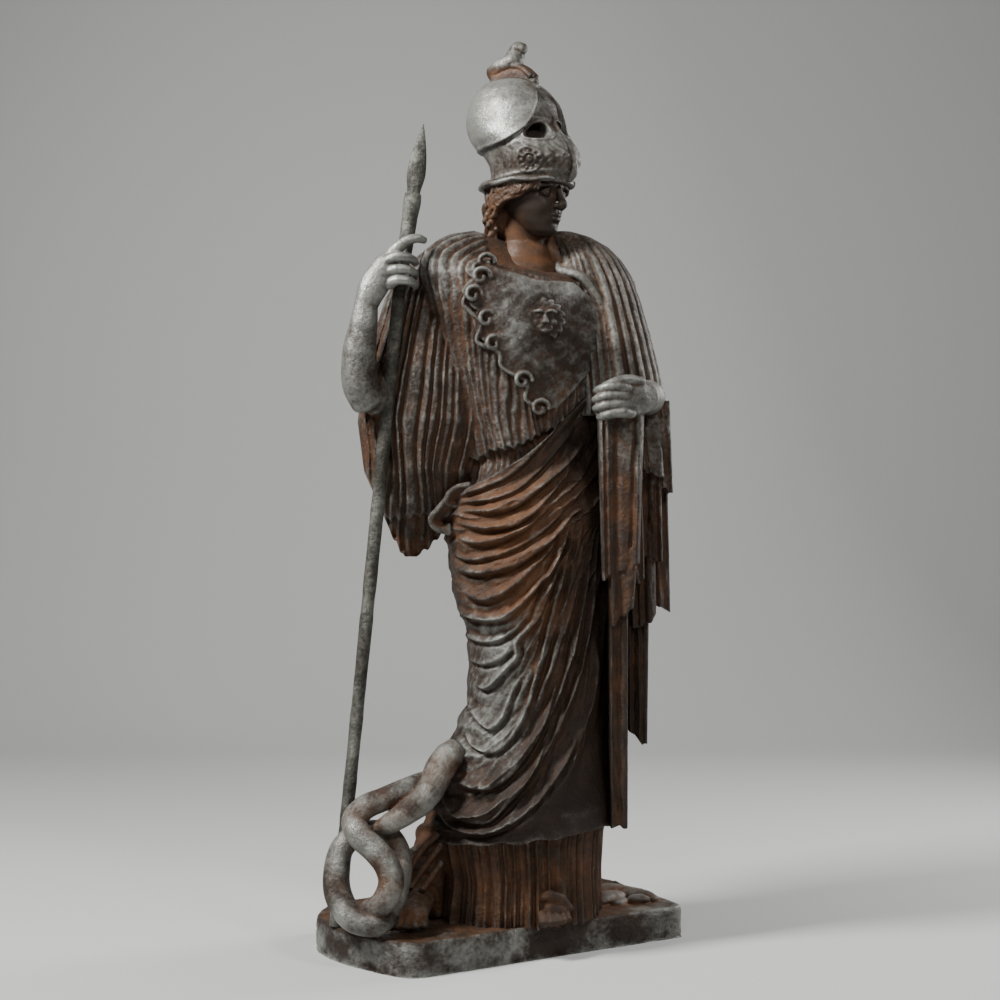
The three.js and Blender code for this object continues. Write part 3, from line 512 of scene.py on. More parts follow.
def gorgon():
    """A plain broad mask with thick locks round it, standing out of the goatskin."""
    angles = np.linspace(-30, 60, 400)
    skin_ = on_body(angles, 1452, 22 + 12 * bump(angles + 6, 17))
    m = skin_[np.argmin(np.abs(skin_[:, 0] - 106))]
    forms = [ball(0, 4, 0, 34, 17, 37), ball(0, -2, -20, 22, 15, 17),
             limb([[0, -8, 16, 5], [0, -17, 2, 6], [0, -19, -7, 9]], sides=14, per=5)]
    for s in (-1, 1):
        forms.append(ball(s * 14, -9, 9, 7.5, 6, 5.5, sides=16, bands=10))
        forms.append(limb([[s * 3, -14, 16, 3.5], [s * 14, -16, 20, 4.5], [s * 27, -8, 16, 4]], sides=12, per=5))
        forms.append(ball(s * 20, -5, -8, 11, 10, 11, sides=20, bands=12))
        forms.append(limb([[s * 3, -16, -16, 2.5], [s * 13, -14, -18, 3.5], [s * 19, -9, -22, 2.5]], sides=10,
                          per=4))
    forms.append(limb([[-15, -10, -25, 3], [0, -15, -28, 4], [15, -10, -25, 3]], sides=10, per=5))
    for k in range(13):
        b = math.radians(-60 + 300 * k / 12)
        x, z = 39 * math.cos(b), 39 * math.sin(b)
        rows = []
        for i in range(6):
            r, t = 9 - 1.2 * i, b + 1.2 * i
            rows.append([x + r * math.cos(t), 1 - 0.8 * i, z + r * math.sin(t), 5.2 - 0.3 * i])
        forms.append(limb(rows, sides=10, per=4))
    return [moved(f, lambda p: spun(p, 0.12) + m) for f in forms]


HEM_WAVE = 9


def panel(top, low, folds, depth, thickness, drop, seed):
    """A hanging panel of cloth. Each end row is [height, left, right, depth]."""
    n = max(60, int(np.ptp([low[1], low[2], top[1], top[2]]) / 1.8))
    v, u = np.meshgrid(np.linspace(0, 1, 160), np.linspace(0, 1, n), indexing="ij")
    q = u * folds + 0.3 * wander(u * 3 + seed, seed) + 0.12 * wander(v * 3 + u * 5, seed + 1)
    wave = pleats(q, 60 + seed, 0.75)
    zig = np.cos(2 * math.pi * q)
    ragged = HEM_WAVE * (0.35 * zig + 0.8 * wander(u * 5, seed + 9)) * smooth(0.35, 0, v)
    height = mix(low[0] + drop * (u - 0.5) + ragged, top[0], v)
    x = mix(mix(low[1], low[2], u), mix(top[1], top[2], u), v)
    y = mix(low[3], top[3], v) - depth * (1.9 * wave - 1)
    y = y + 10 * smooth(0.06, 0, u) + 10 * smooth(0.94, 1, u)
    y = y - 2.0 * wander(v * 14 + 3 * wander(u * 6, seed), seed + 3)
    outer = np.stack([x, y, height], -1)
    inner = outer.copy()
    inner[..., 1] = mix(low[3], top[3], v) + thickness
    return cloth(outer, inner)


# Each row: height, left, right, depth of the middle, half depth.
SLEEVE = [
    [880, -236, -205, 50, 12], [920, -262, -158, 45, 38], [1010, -300, -90, 40, 80], [1090, -336, -20, 40, 104],
    [1215, -352, 20, 40, 112], [1330, -335, 20, 44, 108], [1430, -312, 20, 55, 100], [1520, -286, 20, 66, 92],
    [1590, -246, 10, 76, 80], [1635, -200, 0, 86, 62], [1662, -150, -20, 92, 36],
]


def sleeve():
    """Wide sleeve: pleats fan out from the shoulder and hang straight below the elbow, in two layers."""
    a = np.linspace(0, 2 * math.pi, 640, endpoint=False)[None]
    h = np.linspace(880, 1662, 320)[:, None]
    left, right, mid, half = table(SLEEVE, h)
    x = (left + right) / 2 + (right - left) / 2 * np.sin(a)
    l2, r2 = table(SLEEVE, np.maximum(h, 1095))[:2]
    share = (x - l2) / (r2 - l2)
    q = share * 15 + 0.28 * wander(h / 150 + share * 3, 5) + np.where(np.cos(a) > 0, 0, 40)
    w = pleats(q, 71, 0.6)
    deep = smooth(1690, 1560, h) * smooth(1, 0.9, np.abs(np.sin(a)))
    y = mid - half * np.cos(a) * (1 + 0 * h)
    y = y - np.sign(np.cos(a)) * deep * (22 * w - 12 + 1.5 * wander(share * 70 + 3 * wander(h / 60, 6), 7))
    step = 984 + 5 * np.cos(2 * math.pi * q) + 0.14 * (x + 190)
    y = y + np.sign(np.cos(a)) * 15 * smooth(step + 2, step - 3, h) * deep
    z = h + 7 * np.cos(2 * math.pi * q) * smooth(960, 900, h) * smooth(880, 900, h)
    return grid(np.stack([x, y, z + 0 * x], -1))


def cloak_end():
    """The cloak's end, pulled through between sleeve and hip in an S of soft folds."""
    forms = []
    for k in range(3):
        d = 7 * k
        forms.append(limb([[-74, -66 + d, 1056 - d, 8], [-100, -62 + d, 1050 - d, 9], [-122, -58 + d, 1034 - d, 9],
                           [-128 + d, -54 + d, 1014, 8], [-114 + d, -50, 1004, 6]], per=6))
        forms.append(limb([[-122 + d, -54 + d, 1030 - d, 8], [-146 + d, -50 + d, 1000 - d, 9],
                           [-166 + d, -46 + d, 974, 9], [-156 + d, -42 + d, 954, 9], [-122, -38, 942 + d, 9]],
                          per=6))
    return forms


def arm_cloth():
    """Cloak over the left shoulder and upper arm, with long folds down to the hand."""
    rows = [
        [1226, 150, 412, 60, 92], [1330, 150, 394, 62, 92], [1418, 150, 374, 66, 92], [1517, 150, 346, 72, 84],
        [1566, 148, 328, 76, 76], [1615, 140, 302, 80, 62], [1650, 130, 270, 84, 48], [1676, 126, 226, 86, 32],
        [1690, 130, 180, 86, 16],
    ]
    a = np.linspace(0, 2 * math.pi, 420, endpoint=False)[None]
    h = np.linspace(1226, 1690, 190)[:, None]
    left, right, mid, half = table(rows, h)
    q = a / (2 * math.pi) * 24 + 0.3 * wander(a * 2.3, 13) + 0.2 * wander(h / 150 + a * 1.5, 15)
    w = pleats(q, 81, 0.75)
    fold = 1 + (-0.10 + 0.2 * w) * smooth(1700, 1600, h)
    x = (left + right) / 2 + (right - left) / 2 * mix(1, fold, 0.4) * np.sin(a)
    return grid(np.stack([x, mid - half * fold * np.cos(a), h + 0 * x], -1))


# ---------------------------------------------------------------- head

HEAD = (62, 56, 1700)
HEAD_TURN, NOD = math.radians(52), math.radians(7)


def put_helmet(p):
    return spun(p, HEAD_TURN) + HEAD


def put_head(p):
    c, s = math.cos(NOD), math.sin(NOD)
    return put_helmet(np.stack([p[:, 0], c * p[:, 1] - s * p[:, 2], s * p[:, 1] + c * p[:, 2]], 1))


# Each row: height, reach to the front, to the back and to the side.
FACE = [
    [-24, 78, -28, 22], [-14, 90, 0, 34], [8, 94, 30, 50], [36, 95, 60, 63], [64, 92, 84, 71], [92, 92, 92, 75],
    [130, 94, 98, 77], [180, 70, 84, 60],
]


def soft_table(rows, key):
    """Like table, with smooth runs between rows."""
    rows = np.asarray(rows, float)
    x = rows[:, 0]
    fine = np.linspace(x[0], x[-1], 400)
    out = []
    for k in range(1, rows.shape[1]):
        y = np.interp(fine, x, rows[:, k])
        w = np.ones(17) / 17
        pad = np.concatenate([np.full(8, y[0]), y, np.full(8, y[-1])])
        out.append(np.interp(key, fine, np.convolve(pad, w, "valid")))
    return out


def face():
    a = np.linspace(-math.pi, math.pi, 220, endpoint=False)[None]
    z = np.linspace(-24, 180, 190)[:, None]
    front, back, side = soft_table(FACE, z)
    deep = (front + back) / 2
    x = side * np.sin(a)
    y = (back - front) / 2 - deep * np.cos(a)
    facing = np.cos(a) > 0
    eye = bump(np.abs(x) - 32, 17) * bump(z - 79, 11)
    push = -11 * eye + 3.5 * bump(z - 99, 8) * bump(np.abs(x) - 26, 26)
    push = push + 5 * bump(np.abs(x) - 40, 20) * bump(z - 48, 18) - 3 * bump(np.abs(x) - 34, 12) * bump(z - 20, 20)
    push = push + 6 * bump(x, 16) * bump(z + 10, 13) - 4 * bump(x, 18) * bump(z - 6, 6)
    push = push + 5 * bump(x, 24) * bump(z - 24, 15)
    push = push - 3.0 * bump(x, 3.5) * bump(z - 35, 5)
    y = y - np.where(facing, push, 0)
    forms = [grid(np.stack([x + 0 * z, y, z + 0 * x], -1))]
    forms.append(limb([[0, -86, 102, 8], [0, -93, 88, 8.5], [0, -103, 68, 9], [0, -111, 54, 10.5],
                       [0, -104, 46, 9]], per=8))
    for s in (-1, 1):
        forms.append(ball(s * 10, -99, 50, 7.5, 10, 7))
        forms.append(ball(s * 32, -73, 79, 15, 13, 11))
        lid = [[s * (32 + dx), -84 + 0.018 * dx * dx, 79 + 8.5 - 0.035 * dx * dx, 2.6]
               for dx in (-17, -9, 0, 9, 17)]
        low = [[s * (32 + dx), -84 + 0.018 * dx * dx, 79 - 7 + 0.026 * dx * dx, 2.0] for dx in (-16, -8, 0, 8, 16)]
        brow = [[s * (32 + dx), -88 + 0.014 * dx * dx, 99 - 0.008 * dx * dx - 0.05 * dx, 4.0]
                for dx in (-22, -10, 0, 12, 24)]
        forms += [limb(lid, sides=12, per=5), limb(low, sides=12, per=5), limb(brow, sides=12, per=5)]
    forms.append(limb([[-23, -86, 25, 2.5], [-11, -96, 29, 4.5], [0, -99, 27.5, 5], [11, -96, 29, 4.5],
                       [23, -86, 25, 2.5]], sides=16, per=5))
    forms.append(limb([[-20, -86, 22, 2.5], [-9, -95, 18, 5.5], [0, -97, 17, 6], [9, -95, 18, 5.5],
                       [20, -86, 22, 2.5]], sides=16, per=5))
    return [moved(f, put_head) for f in forms]


# Each row: height, reach to the front, to the back and to the side.
HELMET = [
    [92, 134, 112, 96], [106, 134, 96, 90], [124, 142, 88, 94], [150, 154, 92, 104], [183, 144, 114, 110],
    [211, 124, 137, 114], [234, 101, 148, 112], [262, 91, 154, 110], [296, 80, 149, 102], [332, 49, 138, 82],
    [358, 16, 112, 52], [375, -30, 68, 10],
]
CROWN_STEP = 5
# The crown's lower edge: degrees from the front, height.
CROWN_EDGE = [
    [0, 345], [12, 338], [20, 316], [27, 290], [33, 264], [39, 243], [49, 225], [61, 210], [73, 198], [89, 187],
    [106, 182], [180, 184],
]


def crown_edge(a):
    return soft_table(CROWN_EDGE, np.abs(np.degrees(a)))[0]


def eye_hole(deg, z, s):
    """Distance from the middle of an eye hole, 1 on its edge; s is -1 for the near one, 1 for the far one."""
    x, y = (deg * s - (38 if s < 0 else 6)) * 1.9, z - (212 if s < 0 else 228)
    y = y + (0.34 if s < 0 else 0.1) * x
    return np.hypot(x / (34 if s < 0 else 20), y / (18 - 5 * np.clip(x / 34, -1, 1)))


def helmet():
    a = np.linspace(-math.pi, math.pi, 520, endpoint=False)[None]
    z = np.linspace(92, 358, 320)[:, None]
    front, back, side = soft_table(HELMET, z)
    out = np.where(z > crown_edge(a) + 5, -25 * smooth(0, 8, z - crown_edge(a) - 5) - 2.5, -2.5)
    deg = np.degrees(a)
    # eye holes, almond shaped, with a thin raised border
    for s in (-1, 1):
        e = eye_hole(deg, z, s)
        out = out - 36 * smooth(1.02, 0.86, e) + 2.6 * bump(e - 1.2, 0.13)
        # brow line over the eye
        out = out + 3 * bump(z - (236 + 14 * np.cos((deg * s - 30) / 30)), 5) * bump(deg * s - 38, 26)
        # rosette of the cheek, then scroll work round it
        rx, rz = (deg * s - 64) * 1.85, z - 142
        r = np.hypot(rx, rz)
        ang = np.arctan2(rz, rx * s)
        spiral = np.cos(2 * math.pi * (r / 12.5 - ang / (2 * math.pi)))
        petals = np.cos(11 * ang + 0.12 * r)
        out = out + 1.5 * spiral * smooth(24, 18, r) * smooth(7, 10, r)
        out = out + 3 * smooth(9, 6, r) + 1.6 * petals * bump(r - 21, 5)
        out = out + 2.2 * bump(r - 29, 2.6) + 1.8 * bump(r - 14, 2)
        sx, sz = (deg * s - 88) * 1.85, z - 190 - (deg * s - 88) * 0.25
        out = out + 1.8 * np.sin(sx / 5.5 + 2.5 * np.sin(sz / 9)) * bump(sx, 34) * bump(sz, 15)
        gx, gz = (deg * s - 22) * 2.2, z - 152
        out = out + 1.7 * np.sin(gx / 4.6 + 2 * np.sin(gz / 8)) * np.sin(gz / 6 + 0.8) * bump(gx, 26) * bump(gz, 30)
    out = out + 3 * bump(z - 112 - 6 * np.cos(a), 4)
    out = out - 13 * bump(z - 236, 42) * smooth(10, 26, deg) * smooth(95, 60, deg)
    scrolls = np.sin(deg / 2.1 + 2 * np.sin(z / 9)) * np.sin(z / 6.5 + np.sin(deg / 5))
    out = out + 1.9 * scrolls * bump(z - 156, 48) * bump(np.abs(deg) - 44, 44)
    x = (side + out) * np.sin(a)
    y = (back - front) / 2 - ((front + back) / 2 + out) * np.cos(a)
    forms = [grid(np.stack([x, y, z + 0 * x], -1))]
    edge = crown_edge(a)
    t = np.linspace(0, 1, 240)[:, None]
    zc = edge + (375 - edge) * t
    front, back, side = soft_table(HELMET, zc)
    lip = CROWN_STEP + 2.5 * bump(t * (375 - edge) - 3, 4)
    ridge_ = 4 * bump(deg, 3.4) * smooth(0.9, 0.7, t)
    x = (side + lip + ridge_) * np.sin(a)
    y = (back - front) / 2 - ((front + back) / 2 + lip + ridge_) * np.cos(a)
    forms.append(grid(np.stack([x, y, zc], -1)))
    forms.append(limb([[-5, -88, 256, 4], [-9, -112, 218, 5.5], [-6, -143, 168, 7.5], [0, -151, 120, 9],
                       [0, -136, 98, 8]], per=10))
    rim = []
    for i in range(25):
        b = (1 - i / 12) * 0.86 * math.pi + math.pi
        rim.append([98 * math.sin(b), -8 - 124 * math.cos(b), 97 + 2.5 * math.sin(i * 1.9), 6 - 3 * math.cos(b)])
    forms.append(limb(rim, (0, 0, 1), sides=16, per=6))
    return [moved(f, put_helmet) for f in forms]


def crest():
    forms = [
        limb([[0, -30, 350, 14], [0, 24, 378, 22], [0, 86, 372, 26]], (1, 0, 0)),
        limb([[0, 100, 392, 22], [0, 70, 401, 28], [0, 40, 410, 27], [0, 28, 430, 23], [0, 22, 442, 19],
              [0, 4, 441, 13]], (1, 0, 0)),
        limb([[9, -26, 366, 9], [10, 0, 388, 9], [11, 26, 398, 12]], (1, 0, 0), sides=16),
        limb([[-9, -26, 366, 9], [-10, 0, 388, 9], [-11, 26, 398, 12]], (1, 0, 0), sides=16),
        limb([[12, 84, 384, 13], [14, 66, 394, 14], [12, 50, 396, 10]], (1, 0, 0), sides=16),
        limb([[-12, 84, 384, 13], [-14, 66, 394, 14], [-12, 50, 396, 10]], (1, 0, 0), sides=16),
    ]
    return [moved(f, put_helmet) for f in forms]


def hair():
    """Wavy strands from the temples back under the rim, and a twisted lock behind each ear."""
    forms = [ball(0, 58, 26, 60, 50, 72)]
    path = [(56, -72, 97), (70, -54, 92), (79, -30, 84), (83, -4, 74), (82, 22, 62), (74, 46, 48), (60, 66, 34),
            (46, 82, 22)]
    for s in (-1, 1):
        forms.append(limb([[s * 60, -58, 92, 7], [s * 72, -30, 82, 11], [s * 74, 0, 70, 14], [s * 62, 50, 44, 20],
                           [s * 38, 76, 22, 26]]))
        forms.append(limb([[s * 44, 70, 34, 22], [s * 52, 62, -20, 14], [s * 64, 46, -76, 8]]))
        for k in range(8):
            rows = []
            for i, (x, y, z) in enumerate(path):
                lift = (k - 3.5) * (2.2 + 1.15 * i)
                w = 4.2 * math.sin(i * 2.5 + k * 2.1 + s)
                rows.append([s * (x + 3.2 * math.cos(k * 2.3 + i * 1.9)), y + 0.6 * w, z + lift + w,
                             4.3 + 0.35 * i])
            forms.append(limb(rows, sides=12, per=7))
        for k in range(3):
            rows = []
            for i in range(14):
                b, t = i * 0.95 + k * 2.1, i / 13
                r = 11 * (1 - 0.45 * t)
                rows.append([s * (mix(56, 68, t) + r * math.cos(b)), mix(76, 30, t) + r * math.sin(b),
                             mix(40, -118, t), 9 - 3 * t])
            forms.append(limb(rows, sides=12, per=5))
        for k in range(9):
            b = k * 1.9
            forms.append(limb([
                [s * (62 + 10 * math.sin(b)), 54 + 14 * math.cos(b), 44 - 12 * k, 6],
                [s * (72 + 8 * math.sin(b + 1)), 60 + 10 * math.cos(b + 1), 38 - 12 * k, 6.5],
                [s * (64 + 8 * math.sin(b + 2)), 70 + 8 * math.cos(b + 2), 32 - 12 * k, 5],
            ], sides=10, per=4))
    for k in range(15):
        b = math.radians(-84 + 12 * k)
        rows = []
        for j in range(9):
            sway = 4 * math.sin(1.7 * j + k)
            rows.append([(56 - 1.2 * j) * math.sin(b) + sway, 58 + (50 - 1.5 * j) * math.cos(b), 84 - 17 * j, 9.5])
        forms.append(limb(rows, sides=14, per=5))
    for s in (-1, 1):
        for k in range(78):
            at = rand(k, 61) * (len(path) - 1)
            i = min(int(at), len(path) - 2)
            x, y, z = (mix(path[i][j], path[i + 1][j], at - i) for j in range(3))
            z = z + (rand(k, 62) - 0.45) * (10 + 7 * at)
            turn, r = 6.3 * rand(k, 63), 5.5 + 2.5 * rand(k, 64)
            ring = [[s * (x + 3 + 0.8 * j), y + r * math.cos(turn + 1.1 * j), z + r * math.sin(turn + 1.1 * j), 3.4]
                    for j in range(5)]
            forms.append(limb(ring, sides=10, per=4))
    return [moved(f, put_head) for f in forms]


def neck():
    rows = [[62, 74, 1470, 80], [62, 74, 1560, 94], [62, 74, 1590, 88], [62, 75, 1622, 70], [62, 76, 1665, 57],
            [66, 62, 1730, 54], [68, 60, 1780, 56]]
    forms = [limb(rows, (1, 0, 0), sides=60)]
    forms.append(limb([[52, 20, 1608, 7], [60, 22, 1640, 8], [84, 40, 1700, 8]], sides=14))
    forms.append(limb([[150, 92, 1610, 44], [112, 92, 1640, 44], [84, 86, 1690, 44], [72, 76, 1750, 42]],
                      (1, 0, 0)))
    return forms


# ---------------------------------------------------------------- arms, hands, feet, snake

def upper_arm():
    return [limb([[-240, 10, 1330, 46], [-280, -16, 1290, 46], [-312, -50, 1264, 42]])]


def right_arm():
    forms = [
        limb([[-318, -56, 1260, 44], [-336, -66, 1300, 45], [-338, -76, 1370, 42], [-328, -80, 1440, 34],
              [-320, -80, 1500, 28, 0.85]], per=14),
        limb([[-324, -80, 1482, 28, 0.9], [-304, -80, 1532, 36, 0.8], [-272, -76, 1578, 36, 0.74],
              [-256, -78, 1594, 30, 0.7]]),
        limb([[-278, -74, 1584, 20], [-250, -82, 1620, 16], [-224, -82, 1641, 12.5], [-200, -76, 1649, 11],
              [-182, -64, 1646, 9]]),
        limb([[-300, -66, 1540, 18], [-280, -34, 1570, 15], [-256, -6, 1588, 12], [-232, 2, 1592, 10]]),
    ]
    for k, height in enumerate([1600, 1571, 1545]):
        forms.append(limb([[-272 + 3 * k, -88, height - 8, 14], [-252 + 2 * k, -99, height, 12.5],
                           [-229, -98, height + 1, 11.5],
                           [-210, -82, height - 3, 10.5], [-204, -62, height - 8, 9.5]], per=6))
    return forms


def left_hand():
    forms = [
        limb([[360, 10, 1262, 44], [358, -46, 1270, 40], [346, -96, 1270, 36, 0.8]]),
        limb([[352, -92, 1268, 38, 0.86], [322, -122, 1264, 44, 0.56], [290, -134, 1262, 40, 0.5]], (0.3, 1, 0)),
        limb([[336, -122, 1300, 13], [300, -146, 1304, 12.5], [268, -156, 1298, 10.5], [246, -150, 1290, 8.5]],
             per=6),
    ]
    for i in range(4):
        height = 1286 - 19.5 * i
        far = [0, 3, 1, -8][i]
        forms.append(limb([[312, -134, height - 4 + i, 13.2], [280 - far, -156, height + 2 - i, 13],
                           [254 - far, -160, height - 1.5 * i, 11.6],
                           [236 - far, -150, height - 5 - 1.5 * i, 10.4], [228 - far, -130, height - 8 - i, 9]],
                           per=6))
    return forms


def foot(x, y, turn, length, width):
    """A bare foot with five toes."""
    forms = [limb([[0, 60, 62, 44], [0, 10, 52, 42], [0, -45, 34, 40, 0.8], [0, -length + 20, 20, 37, 0.6]],
                  (0, 0, 1))]
    for i in range(5):
        across = -34 + 17 * i
        reach = length + 14 - 2.2 * (i - 1) ** 2
        big = 3 if i == 0 else 0
        forms.append(limb([[across * 0.5, 10, 84, 8], [across * 0.72, -length + 50, 54, 10],
                           [across * 0.95, -reach + 14, 25, 10.5 + big],
                           [across, -reach, 13, 10.5 + big]], sides=16, per=6))
    return [moved(f, lambda p: spun(p * [width, 1, 1], turn) + [x, y, 0]) for f in forms]


def roots():
    """Worn lumps left standing on the plinth beside the cloak."""
    return [
        limb([[226, 120, 2, 26, 0.6], [262, 156, 8, 34, 0.5], [292, 190, 6, 30, 0.5], [306, 226, 2, 18, 0.5]],
             (0, 0, 1)),
        limb([[236, 200, 4, 30, 0.6], [286, 232, 10, 36, 0.5], [334, 222, 8, 28, 0.5], [372, 198, 5, 26, 0.5],
              [398, 176, 2, 14, 0.5]], (0, 0, 1)),
        ball(352, 160, 4, 30, 22, 14), ball(300, 150, 2, 24, 30, 12),
    ]


def foot_cloth():
    """Cloth that falls over the right ankle, and the tunic's edge round the left foot."""
    def folds(t, a):
        return 1 + 0.10 * np.sin(30 * t + 2.2 * np.sin(a + 0.6)) + 0.04 * np.sin(61 * t + 3 * np.sin(a))

    forms = [
        limb([[-202, -30, 84, 34, 0.9], [-190, -24, 120, 38, 0.9], [-176, -14, 160, 42, 0.9], [-150, 10, 210, 46],
              [-120, 20, 250, 50]], sides=48, per=20, wave=folds),
        limb([[-160, 0, 10, 24], [-160, -6, 90, 30], [-150, 0, 160, 40], [-130, 10, 230, 50]]),
        limb([[66, -62, 30, 10], [84, -84, 62, 12], [112, -92, 74, 12], [142, -84, 66, 11], [168, -58, 34, 10]]),
        limb([[76, -50, 70, 12], [104, -70, 104, 14], [136, -56, 84, 12]]),
        limb([[62, -62, 20, 8], [70, -78, 90, 8], [86, -60, 150, 8]]),
        limb([[158, -50, 30, 9], [146, -70, 90, 9], [134, -52, 160, 8]]),
    ]
    ridges = [
        [(-150, 214), (-180, 188), (-208, 150), (-222, 112)], [(-142, 190), (-168, 158), (-194, 124), (-214, 96)],
        [(-142, 150), (-162, 120), (-184, 90)],
    ]
    for pts in ridges:
        forms.append(limb([[x, -58 - 0.25 * (220 - z), z, 8] for x, z in pts], sides=12, per=6))
    return forms


SNAKE_LOOP = [
    [-255, -150, 40, 20], [-290, -205, 32, 26], [-345, -192, 44, 29], [-381, -160, 92, 30], [-386, -142, 142, 29],
    [-372, -128, 198, 26], [-325, -100, 226, 25], [-272, -100, 222, 25], [-240, -115, 180, 25],
    [-240, -140, 110, 25],
    [-262, -160, 50, 25],
]
SNAKE_BODY = [
    [-306, -192, 60, 24], [-272, -204, 84, 27], [-254, -196, 128, 28], [-264, -190, 166, 28], [-292, -182, 200, 28],
    [-330, -168, 232, 28], [-344, -146, 262, 28], [-322, -132, 290, 27], [-276, -114, 308, 26],
    [-226, -92, 326, 26],
    [-180, -50, 336, 26], [-140, 0, 330, 26],
]
SNAKE_NECK = [
    [-292, -142, 246, 14], [-262, -146, 256, 23], [-222, -138, 280, 27], [-186, -122, 304, 29],
    [-162, -104, 336, 31],
    [-144, -86, 374, 34], [-124, -66, 402, 33], [-110, -52, 418, 26],
]
CURLS = [[-28, 1604], [-28, 1552], [-32, 1508], [-26, 1450], [-23, 1392], [-6, 1305], [6, 1240]]


def curls():
    """The small snakes curled along the goatskin's edge, and the cord that follows it."""
    forms = []
    for angle, height in CURLS:
        m = on_body(angle, height, 27)
        rows = []
        for i in range(13):
            b = i * 0.55
            r = 23 - 1.45 * i
            rows.append([m[0] + r * math.cos(b), m[1] + r * math.cos(b) * 0.25 - 3, m[2] + r * math.sin(b),
                         6.4 - 0.12 * i])
        forms.append(limb(rows, sides=14, per=5))
    edge = [[1232, 8], [1262, -1], [1298, -5], [1340, -16], [1372, -22], [1398, -29], [1440, -31], [1490, -34],
            [1540, -31], [1584, -29], [1612, -27]]
    rows = []
    for k, (h, ang) in enumerate(edge):
        m = on_body(ang - (3.5 if k % 2 else -1.5), h, 26)
        rows.append([m[0], m[1], m[2], 5.6])
    forms.append(limb(rows, sides=14, per=8))
    return forms


# ---------------------------------------------------------------- plinth

# Length, depth, height, and how far the corners are cut as a share of the length.
PLINTH = (870, 480, 80, 0.14)
PLINTH_MIDDLE = (33, 109)


def plinth():
    """The block in the row's own directions, returned in the carving frame."""
    length, depth, height, corner = PLINTH
    half, deep, cut = length / 2, depth / 2, length * corner
    pts = []

    def line(a, b):
        n = max(2, int(math.dist(a, b) / 2.5))
        pts.extend([mix(np.array(a), np.array(b), i / n) for i in range(n)])

    def bend(a, c, b):
        n = max(2, int(math.dist(a, b) / 2.5))
        a, b, c = np.array(a), np.array(b), np.array(c)
        pts.extend([(1 - t) ** 2 * a + 2 * t * (1 - t) * c + t * t * b for t in [i / n for i in range(n)]])
    line((-half + cut, -deep), (half - cut * 0.2, -deep))
    bend((half - cut * 0.2, -deep), (half - cut * 0.02, -deep), (half, -deep + cut * 0.25))
    line((half, -deep + cut * 0.25), (half, deep - cut * 1.3))
    bend((half, deep - cut * 1.3), (half - cut * 0.2, deep - cut * 0.6), (half - cut, deep))
    line((half - cut, deep), (-half + cut, deep))
    bend((-half + cut, deep), (-half + cut * 0.1, deep - cut * 0.5), (-half, deep - cut * 1.4))
    bend((-half, deep - cut * 1.4), (-half - cut * 0.02, -deep + cut * 1.6), (-half + cut * 0.5, -deep + cut * 0.5))
    bend((-half + cut * 0.5, -deep + cut * 0.5), (-half + cut * 0.7, -deep + cut * 0.05), (-half + cut, -deep))
    rim = np.array(pts)
    rings = []
    for k in range(36):
        t = k / 35
        z = -height + height * t
        inset = 1.5 + 5 * smooth(0.9, 1.0, t) ** 2 + 3 * smooth(0.08, 0, t)
        p3 = np.column_stack([rim, np.full(len(rim), z)])
        rough = 3.2 * cloud(p3, 55, 1) + 2.0 * cloud(p3, 22, 2) + 1.4 * cloud(p3, 9, 3)
        flat = p3 * [1, 1, 0]
        ragged = 9 * np.maximum(0, cloud(flat, 60, 5)) * smooth(0.5, 0, t)
        ragged = ragged + 5 * np.maximum(0, cloud(flat, 17, 6)) * smooth(0.3, 0, t)
        keep = smooth(0, 0.02, t)
        d = inset + np.clip(rough + 3.5, 0, None) * 0.8 + ragged
        centre_dir = -rim / np.linalg.norm(rim, axis=1)[:, None]
        q = rim + centre_dir * (d * (0.25 + 0.75 * keep))[:, None]
        rings.append(np.column_stack([q, np.full(len(q), z)]))
    top = rings[-1]
    for k in range(1, 70):
        s = 1 - k / 70
        q = top[:, :2] * s
        p3 = np.column_stack([q, np.zeros(len(q))])
        z = -3.0 * smooth(0, 4, k) + 1.6 * cloud(p3, 60, 7) + 0.9 * cloud(p3, 17, 8)
        bumps = 10 * np.maximum(0, cloud(p3, 30, 9) - 0.15) * smooth(230, 300, q[:, 0]) * smooth(-150, -60, q[:, 1])
        rings.append(np.column_stack([q, np.minimum(z + bumps, 12)]))
    p = np.stack(rings)
    v, f = grid(p)
    return spun(v + [*PLINTH_MIDDLE, 0], TURN), f


# ---------------------------------------------------------------- meshes

def mesh_of(name, verts, tris):
    m = bpy.data.meshes.new(name)
    m.vertices.add(len(verts))
    m.vertices.foreach_set("co", np.ascontiguousarray(verts, np.float32).ravel())
    m.loops.add(3 * len(tris))
    m.loops.foreach_set("vertex_index", np.ascontiguousarray(tris, np.int32).ravel())
    m.polygons.add(len(tris))
    m.polygons.foreach_set("loop_start", np.arange(0, 3 * len(tris), 3, dtype=np.int32))
    m.update(calc_edges=True)
    return m


def joined(forms):
    verts, tris, at = [], [], 0
    for v, t in forms:
        verts.append(place(v))
        tris.append(t + at)
        at += len(v)
    return np.concatenate(verts), np.concatenate(tris)


def applied(obj):
    deps = bpy.context.evaluated_depsgraph_get()
    m = bpy.data.meshes.new_from_object(obj.evaluated_get(deps))
    obj.modifiers.clear()
    old = obj.data
    obj.data = m
    bpy.data.meshes.remove(old)


def coords(m):
    p = np.empty(3 * len(m.vertices), np.float32)
    m.vertices.foreach_get("co", p)
    return p.reshape(-1, 3).astype(float)


def links(m):
    e = np.empty(2 * len(m.edges), np.int32)
    m.edges.foreach_get("vertices", e)
    e = e.reshape(-1, 2)
    return np.concatenate([e[:, 0], e[:, 1]]), np.concatenate([e[:, 1], e[:, 0]])


